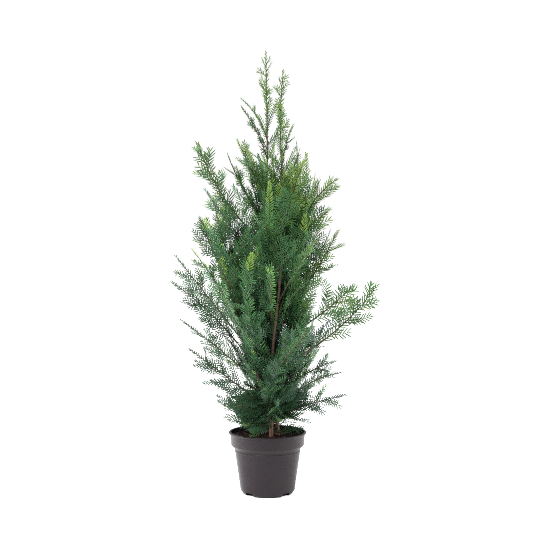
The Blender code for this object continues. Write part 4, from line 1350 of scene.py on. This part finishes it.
@dataclass
class Soil:
    """The soil's uneven top, with crumbs and bark chips lying on it."""

    top: float = SOIL_TOP
    depth: float = 0.030
    radius: float = 0.1308
    heave: float = 0.0045
    cuts: int = 16
    crumbs: int = 1500
    crumb_sizes: tuple[float, float] = (0.0012, 0.0042)
    chips: int = 150

    def level(self, x: float, y: float) -> float:
        """The height of the uneven top at a place."""
        broad = noise.noise(Vector((x * 22, y * 22, 3.1)))
        fine = noise.noise(Vector((x * 90, y * 90, 7.7)))
        edge = min(1.0, (self.radius - math.hypot(x, y)) / 0.02)
        return self.top - 0.0010 + self.heave * (0.45 * broad + 0.22 * fine) * edge

    def build(self, effects: Effects) -> None:
        """Makes the soil's bed and its crumbs."""
        deselect()
        bpy.ops.mesh.primitive_circle_add(vertices=64, radius=self.radius, fill_type="NGON",
                                          location=(0, 0, self.top - self.depth))
        bed = active("soil_bed")
        bpy.ops.object.mode_set(mode="EDIT")
        bpy.ops.mesh.select_all(action="SELECT")
        bpy.ops.mesh.extrude_region_move(TRANSFORM_OT_translate={"value": (0, 0, self.depth)})
        bpy.ops.mesh.poke()
        bpy.ops.mesh.subdivide(number_cuts=self.cuts)
        bpy.ops.mesh.select_all(action="SELECT")
        bpy.ops.mesh.normals_make_consistent(inside=False)
        bpy.ops.object.mode_set(mode="OBJECT")
        for vert in bed.data.vertices:
            if vert.co.z > self.top - self.depth / 2:
                vert.co.z = self.level(vert.co.x, vert.co.y)
        smooth_by_angle(bed, 60)
        place(bed, POTTING_SOIL, effects, ["soil"])
        self.build_crumbs(effects)

    def build_crumbs(self, effects: Effects) -> None:
        """Copies one rough crumb over the soil, as crumbs and as flat bark chips."""
        deselect()
        bpy.ops.mesh.primitive_ico_sphere_add(subdivisions=1, radius=1.0)
        crumb = active("crumb")
        bpy.ops.object.mode_set(mode="EDIT")
        bpy.ops.mesh.select_all(action="SELECT")
        bpy.ops.transform.vertex_random(offset=0.35, uniform=0.6, seed=5)
        bpy.ops.object.mode_set(mode="OBJECT")
        shape = np.array([vert.co for vert in crumb.data.vertices])
        faces = np.array([face.vertices for face in crumb.data.polygons])
        drop(crumb)
        dice = random.Random("crumbs")
        verts = []
        for number in range(self.crumbs + self.chips):
            angle = dice.uniform(0, 2 * math.pi)
            away = (self.radius - 0.004) * math.sqrt(dice.random())
            x, y = away * math.cos(angle), away * math.sin(angle)
            size = between(self.crumb_sizes, dice.random() ** 2.2)
            scale = Vector((size, size * dice.uniform(0.6, 1.0), size * dice.uniform(0.4, 0.8)))
            if number >= self.crumbs:
                scale = Vector((dice.uniform(0.004, 0.009), dice.uniform(0.0015, 0.003), 0.0008))
            turn = Matrix.Rotation(dice.uniform(0, 6.3), 3, "Z") @ Matrix.Rotation(dice.gauss(0, 0.35), 3, "X")
            turned = (shape * np.array(scale)) @ np.array(turn).T
            verts.append(turned + np.array((x, y, self.level(x, y) + scale.z * 0.4)))
        obj = joined("soil_crumbs", verts, [faces] * len(verts), False)
        place(obj, SOIL_CRUMBS, effects, ["soil"])


@dataclass
class BarkLimb:
    """A stem or a bare bough with the bark's relief: shallow furrows that run along it."""

    name: str
    limb: Limb
    nodes: list[str]
    sides: int = 12
    furrow: float = 0.00055
    around: float = 260.0
    lengthwise: float = 34.0

    def build(self, effects: Effects) -> None:
        """Extrudes a ring along the limb, subdivides it and gives it the furrows."""
        points, radii = self.limb.points, self.limb.radii
        deselect()
        bpy.ops.mesh.primitive_circle_add(
            vertices=self.sides, radius=radii[0], fill_type="NGON", location=points[0],
            rotation=(points[-1] - points[0]).to_track_quat("Z", "Y").to_euler())
        obj = active(self.name)
        bpy.ops.object.mode_set(mode="EDIT")
        bpy.ops.mesh.select_all(action="SELECT")
        for last, point, before, radius in zip(points, points[1:], radii, radii[1:]):
            bpy.ops.mesh.extrude_region_move(TRANSFORM_OT_translate={"value": point - last})
            bpy.ops.transform.resize(value=(radius / before,) * 3, center_override=point)
        bpy.ops.mesh.select_all(action="SELECT")
        bpy.ops.mesh.normals_make_consistent(inside=False)
        bpy.ops.object.mode_set(mode="OBJECT")
        subdivided = obj.modifiers.new("subdivided", "SUBSURF")
        subdivided.levels = subdivided.render_levels = 2
        apply_modifiers(obj)
        normals = [vert.normal.copy() for vert in obj.data.vertices]
        for vert, normal in zip(obj.data.vertices, normals):
            co = vert.co
            place_in_bark = Vector((co.x * self.around, co.y * self.around, co.z * self.lengthwise))
            ridge = abs(noise.noise(place_in_bark)) + 0.5 * abs(noise.noise(place_in_bark * 2.3))
            vert.co = co + normal * self.furrow * (ridge * 2.2 - 0.6)
        smooth_by_angle(obj, 70)
        place(obj, YEW_BARK, effects, self.nodes)


def dense_limb(limb: Limb, step: float) -> Limb:
    """The same limb with points about a step apart."""
    count = max(4, round(length_of(limb.points) / step) + 1)
    points = evenly(limb.points, count)
    heights = [point.z for point in limb.points]
    return Limb(points, [float(np.interp(point.z, heights, limb.radii)) for point in points])


@dataclass
class Foliage:
    """The crown's twigs and needles, joined by kind into pieces."""

    crown: Crown
    shape: NeedleShape = NeedleShape()
    twig_sides: tuple = ((Order.BOUGH, 7), (Order.SPRAY, 4), (Order.TWIG, 3))

    def nodes_of(self, shoots: list[Shoot]) -> list[str]:
        """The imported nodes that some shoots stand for."""
        return sorted({"foliage_" + shoot.mass for shoot in shoots} & set(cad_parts))

    def build_twigs(self, effects: Effects) -> None:
        """Makes the twigs, one kind for each order of shoot."""
        for order, sides in self.twig_sides:
            shoots = [shoot for shoot in self.crown.shoots if shoot.order is order]
            tubes = [tube(shoot, sides) for shoot in shoots]
            obj = joined(order.value, [t[0] for t in tubes], [t[1] for t in tubes], True)
            place(obj, TWIG_FINISHES[order], effects, self.nodes_of(shoots))

    def build_needles(self, effects: Effects) -> None:
        """Makes the needles, one kind for each tone, in pieces under the limit."""
        faces = np.array([(0, 1, 3), (0, 3, 2), (2, 3, 5), (2, 5, 4), (4, 5, 6)])
        most = MOST_TRIANGLES // len(faces)
        blocks: dict[Tone, list[np.ndarray]] = defaultdict(list)
        owners: dict[Tone, list[Shoot]] = defaultdict(list)
        for number, shoot in enumerate(self.crown.shoots):
            corners, share = self.shape.corners(shoot, number)
            new = share > self.shape.tip_from if shoot.new_tip else np.zeros(len(share), bool)
            for tone, chosen in ((shoot.tone, ~new), (Tone.TIP, new)):
                if chosen.any():
                    blocks[tone].append(corners[chosen])
                    owners[tone].append(shoot)
        for tone in Tone:
            if tone not in blocks:
                continue
            needles = np.concatenate(blocks[tone])
            pieces = math.ceil(len(needles) / most)
            for number, part in enumerate(np.array_split(needles, pieces)):
                name = f"needles_{tone.name.lower()}_{number + 1}"
                joined_faces = (np.arange(len(part))[:, None, None] * 7 + faces).reshape(-1, 3)
                obj = joined(name, [part.reshape(-1, 3)], [joined_faces], False)
                place(obj, needle_finish(tone), effects, self.nodes_of(owners[tone]))


@dataclass
class Studio:
    """A pale floor, soft light from all round, and the camera at the photograph's angle."""

    camera_place: Vector = field(default_factory=lambda: Vector((-0.004, -4.0, 0.972)))
    pitch: float = 2.23
    lens: float = 36.0 * 1114.6 / 534.0
    floor_size: float = 60.0
    floor_shade: float = 0.72
    floor_glow: float = 0.50
    sky: float = 0.56
    sky_in_gloss: float = 0.54
    key_strength: float = 2.9
    key_turn: tuple[float, float, float] = (36.0, 0.0, -34.0)
    key_softness: float = 36.0
    screens: tuple = ((-1.9, 95.0), (1.9, 66.0))
    screen_size: tuple[float, float] = (1.6, 0.8)

    def build(self) -> None:
        """Makes the camera, the floor and the lights."""
        self.build_camera()
        self.build_floor()
        self.build_key()
        self.build_screens()
        self.build_sky()

    def build_camera(self) -> None:
        """Places the camera."""
        deselect()
        bpy.ops.object.camera_add(location=self.camera_place,
                                  rotation=(math.radians(90 - self.pitch), 0, 0))
        camera = bpy.context.active_object
        camera.name = "camera"
        camera.data.lens = self.lens
        camera.data.sensor_width = 36.0
        bpy.context.scene.camera = camera

    def build_floor(self) -> None:
        """Makes the floor, which glows a little as a lit studio table does."""
        deselect()
        bpy.ops.mesh.primitive_plane_add(size=self.floor_size)
        floor = active("floor")
        finish = bpy.data.materials.new("floor")
        finish.use_nodes = True
        shader = finish.node_tree.nodes["Principled BSDF"]
        shader.inputs["Base Color"].default_value = (*(self.floor_shade,) * 3, 1)
        shader.inputs["Roughness"].default_value = 0.9
        shader.inputs["Specular IOR Level"].default_value = 0.1
        shader.inputs["Emission Color"].default_value = (1, 1, 1, 1)
        path = finish.node_tree.nodes.new("ShaderNodeLightPath")
        glow = finish.node_tree.nodes.new("ShaderNodeMath")
        glow.operation = "MULTIPLY"
        glow.inputs[1].default_value = self.floor_glow
        finish.node_tree.links.new(path.outputs["Is Camera Ray"], glow.inputs[0])
        finish.node_tree.links.new(glow.outputs["Value"], shader.inputs["Emission Strength"])
        floor.data.materials.append(finish)
        floor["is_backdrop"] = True

    def build_key(self) -> None:
        """Places one soft light, high at the front left."""
        deselect()
        turn = tuple(math.radians(angle) for angle in self.key_turn)
        bpy.ops.object.light_add(type="SUN", location=(-2, -3, 4), rotation=turn)
        key = bpy.context.active_object
        key.name = "key"
        key.data.energy = self.key_strength
        key.data.angle = math.radians(self.key_softness)

    def build_screens(self) -> None:
        """Places a low lit screen on each side: the floor it lights lays a soft band along the pot."""
        for number, (x, watts) in enumerate(self.screens):
            deselect()
            turn = (math.radians(50), 0, math.radians(90 if x > 0 else -90))
            bpy.ops.object.light_add(type="AREA", location=(x, -0.1, 0.55), rotation=turn)
            screen = bpy.context.active_object
            screen.name = f"screen_{number + 1}"
            screen.data.shape = "RECTANGLE"
            screen.data.size, screen.data.size_y = self.screen_size
            screen.data.energy = watts
            screen.visible_glossy = False

    def build_sky(self) -> None:
        """Lights the plant softly from all round, against a white backdrop."""
        world = bpy.data.worlds.new("studio")
        bpy.context.scene.world = world
        world.use_nodes = True
        nodes, links = world.node_tree.nodes, world.node_tree.links
        path = nodes.new("ShaderNodeLightPath")
        mirrored = nodes.new("ShaderNodeMapRange")
        mirrored.inputs["To Min"].default_value = self.sky
        mirrored.inputs["To Max"].default_value = self.sky_in_gloss
        links.new(path.outputs["Is Glossy Ray"], mirrored.inputs["Value"])
        strength = nodes.new("ShaderNodeMapRange")
        strength.inputs["To Max"].default_value = 1.0
        links.new(path.outputs["Is Camera Ray"], strength.inputs["Value"])
        links.new(mirrored.outputs["Result"], strength.inputs["To Min"])
        nodes["Background"].inputs["Color"].default_value = (1, 1, 1, 1)
        links.new(strength.outputs["Result"], nodes["Background"].inputs["Strength"])
        scene = bpy.context.scene
        scene.view_settings.view_transform = "Standard"
        scene.cycles.use_denoising = False
        scene.cycles.pixel_filter_type = "BLACKMAN_HARRIS"
        scene.cycles.filter_width = 1.0


def write_sizes() -> None:
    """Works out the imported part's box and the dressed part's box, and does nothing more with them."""
    boxes = {"cad": CAD_BOX, "visual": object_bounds()}
    {name: [list(corner) for corner in box] for name, box in boxes.items()}


def main() -> None:
    """Builds the pot, the soil, the bark, the foliage and the studio, and reports each piece."""
    logging.basicConfig(level=logging.INFO, format="%(message)s")
    effects = Effects()
    Pot().build(effects)
    Soil().build(effects)
    crown = Crown()
    crown.grow()
    LOG.info("%d shoots", len(crown.shoots))
    for stem in STEMS:
        BarkLimb("bark_" + stem.name, dense_limb(crown.limbs[stem.name], 0.022), [stem.name]).build(effects)
    for name, line in crown.bare.items():
        radii = [between((BOUGH_RADIUS, TIP_RADIUS), n / (len(line) - 1)) for n in range(len(line))]
        BarkLimb("bark_bough_" + name, Limb(line, radii), ["bough_" + name], 8).build(effects)
    foliage = Foliage(crown)
    foliage.build_twigs(effects)
    foliage.build_needles(effects)
    Studio().build()
    write_sizes()


if __name__ == "__main__":
    main()
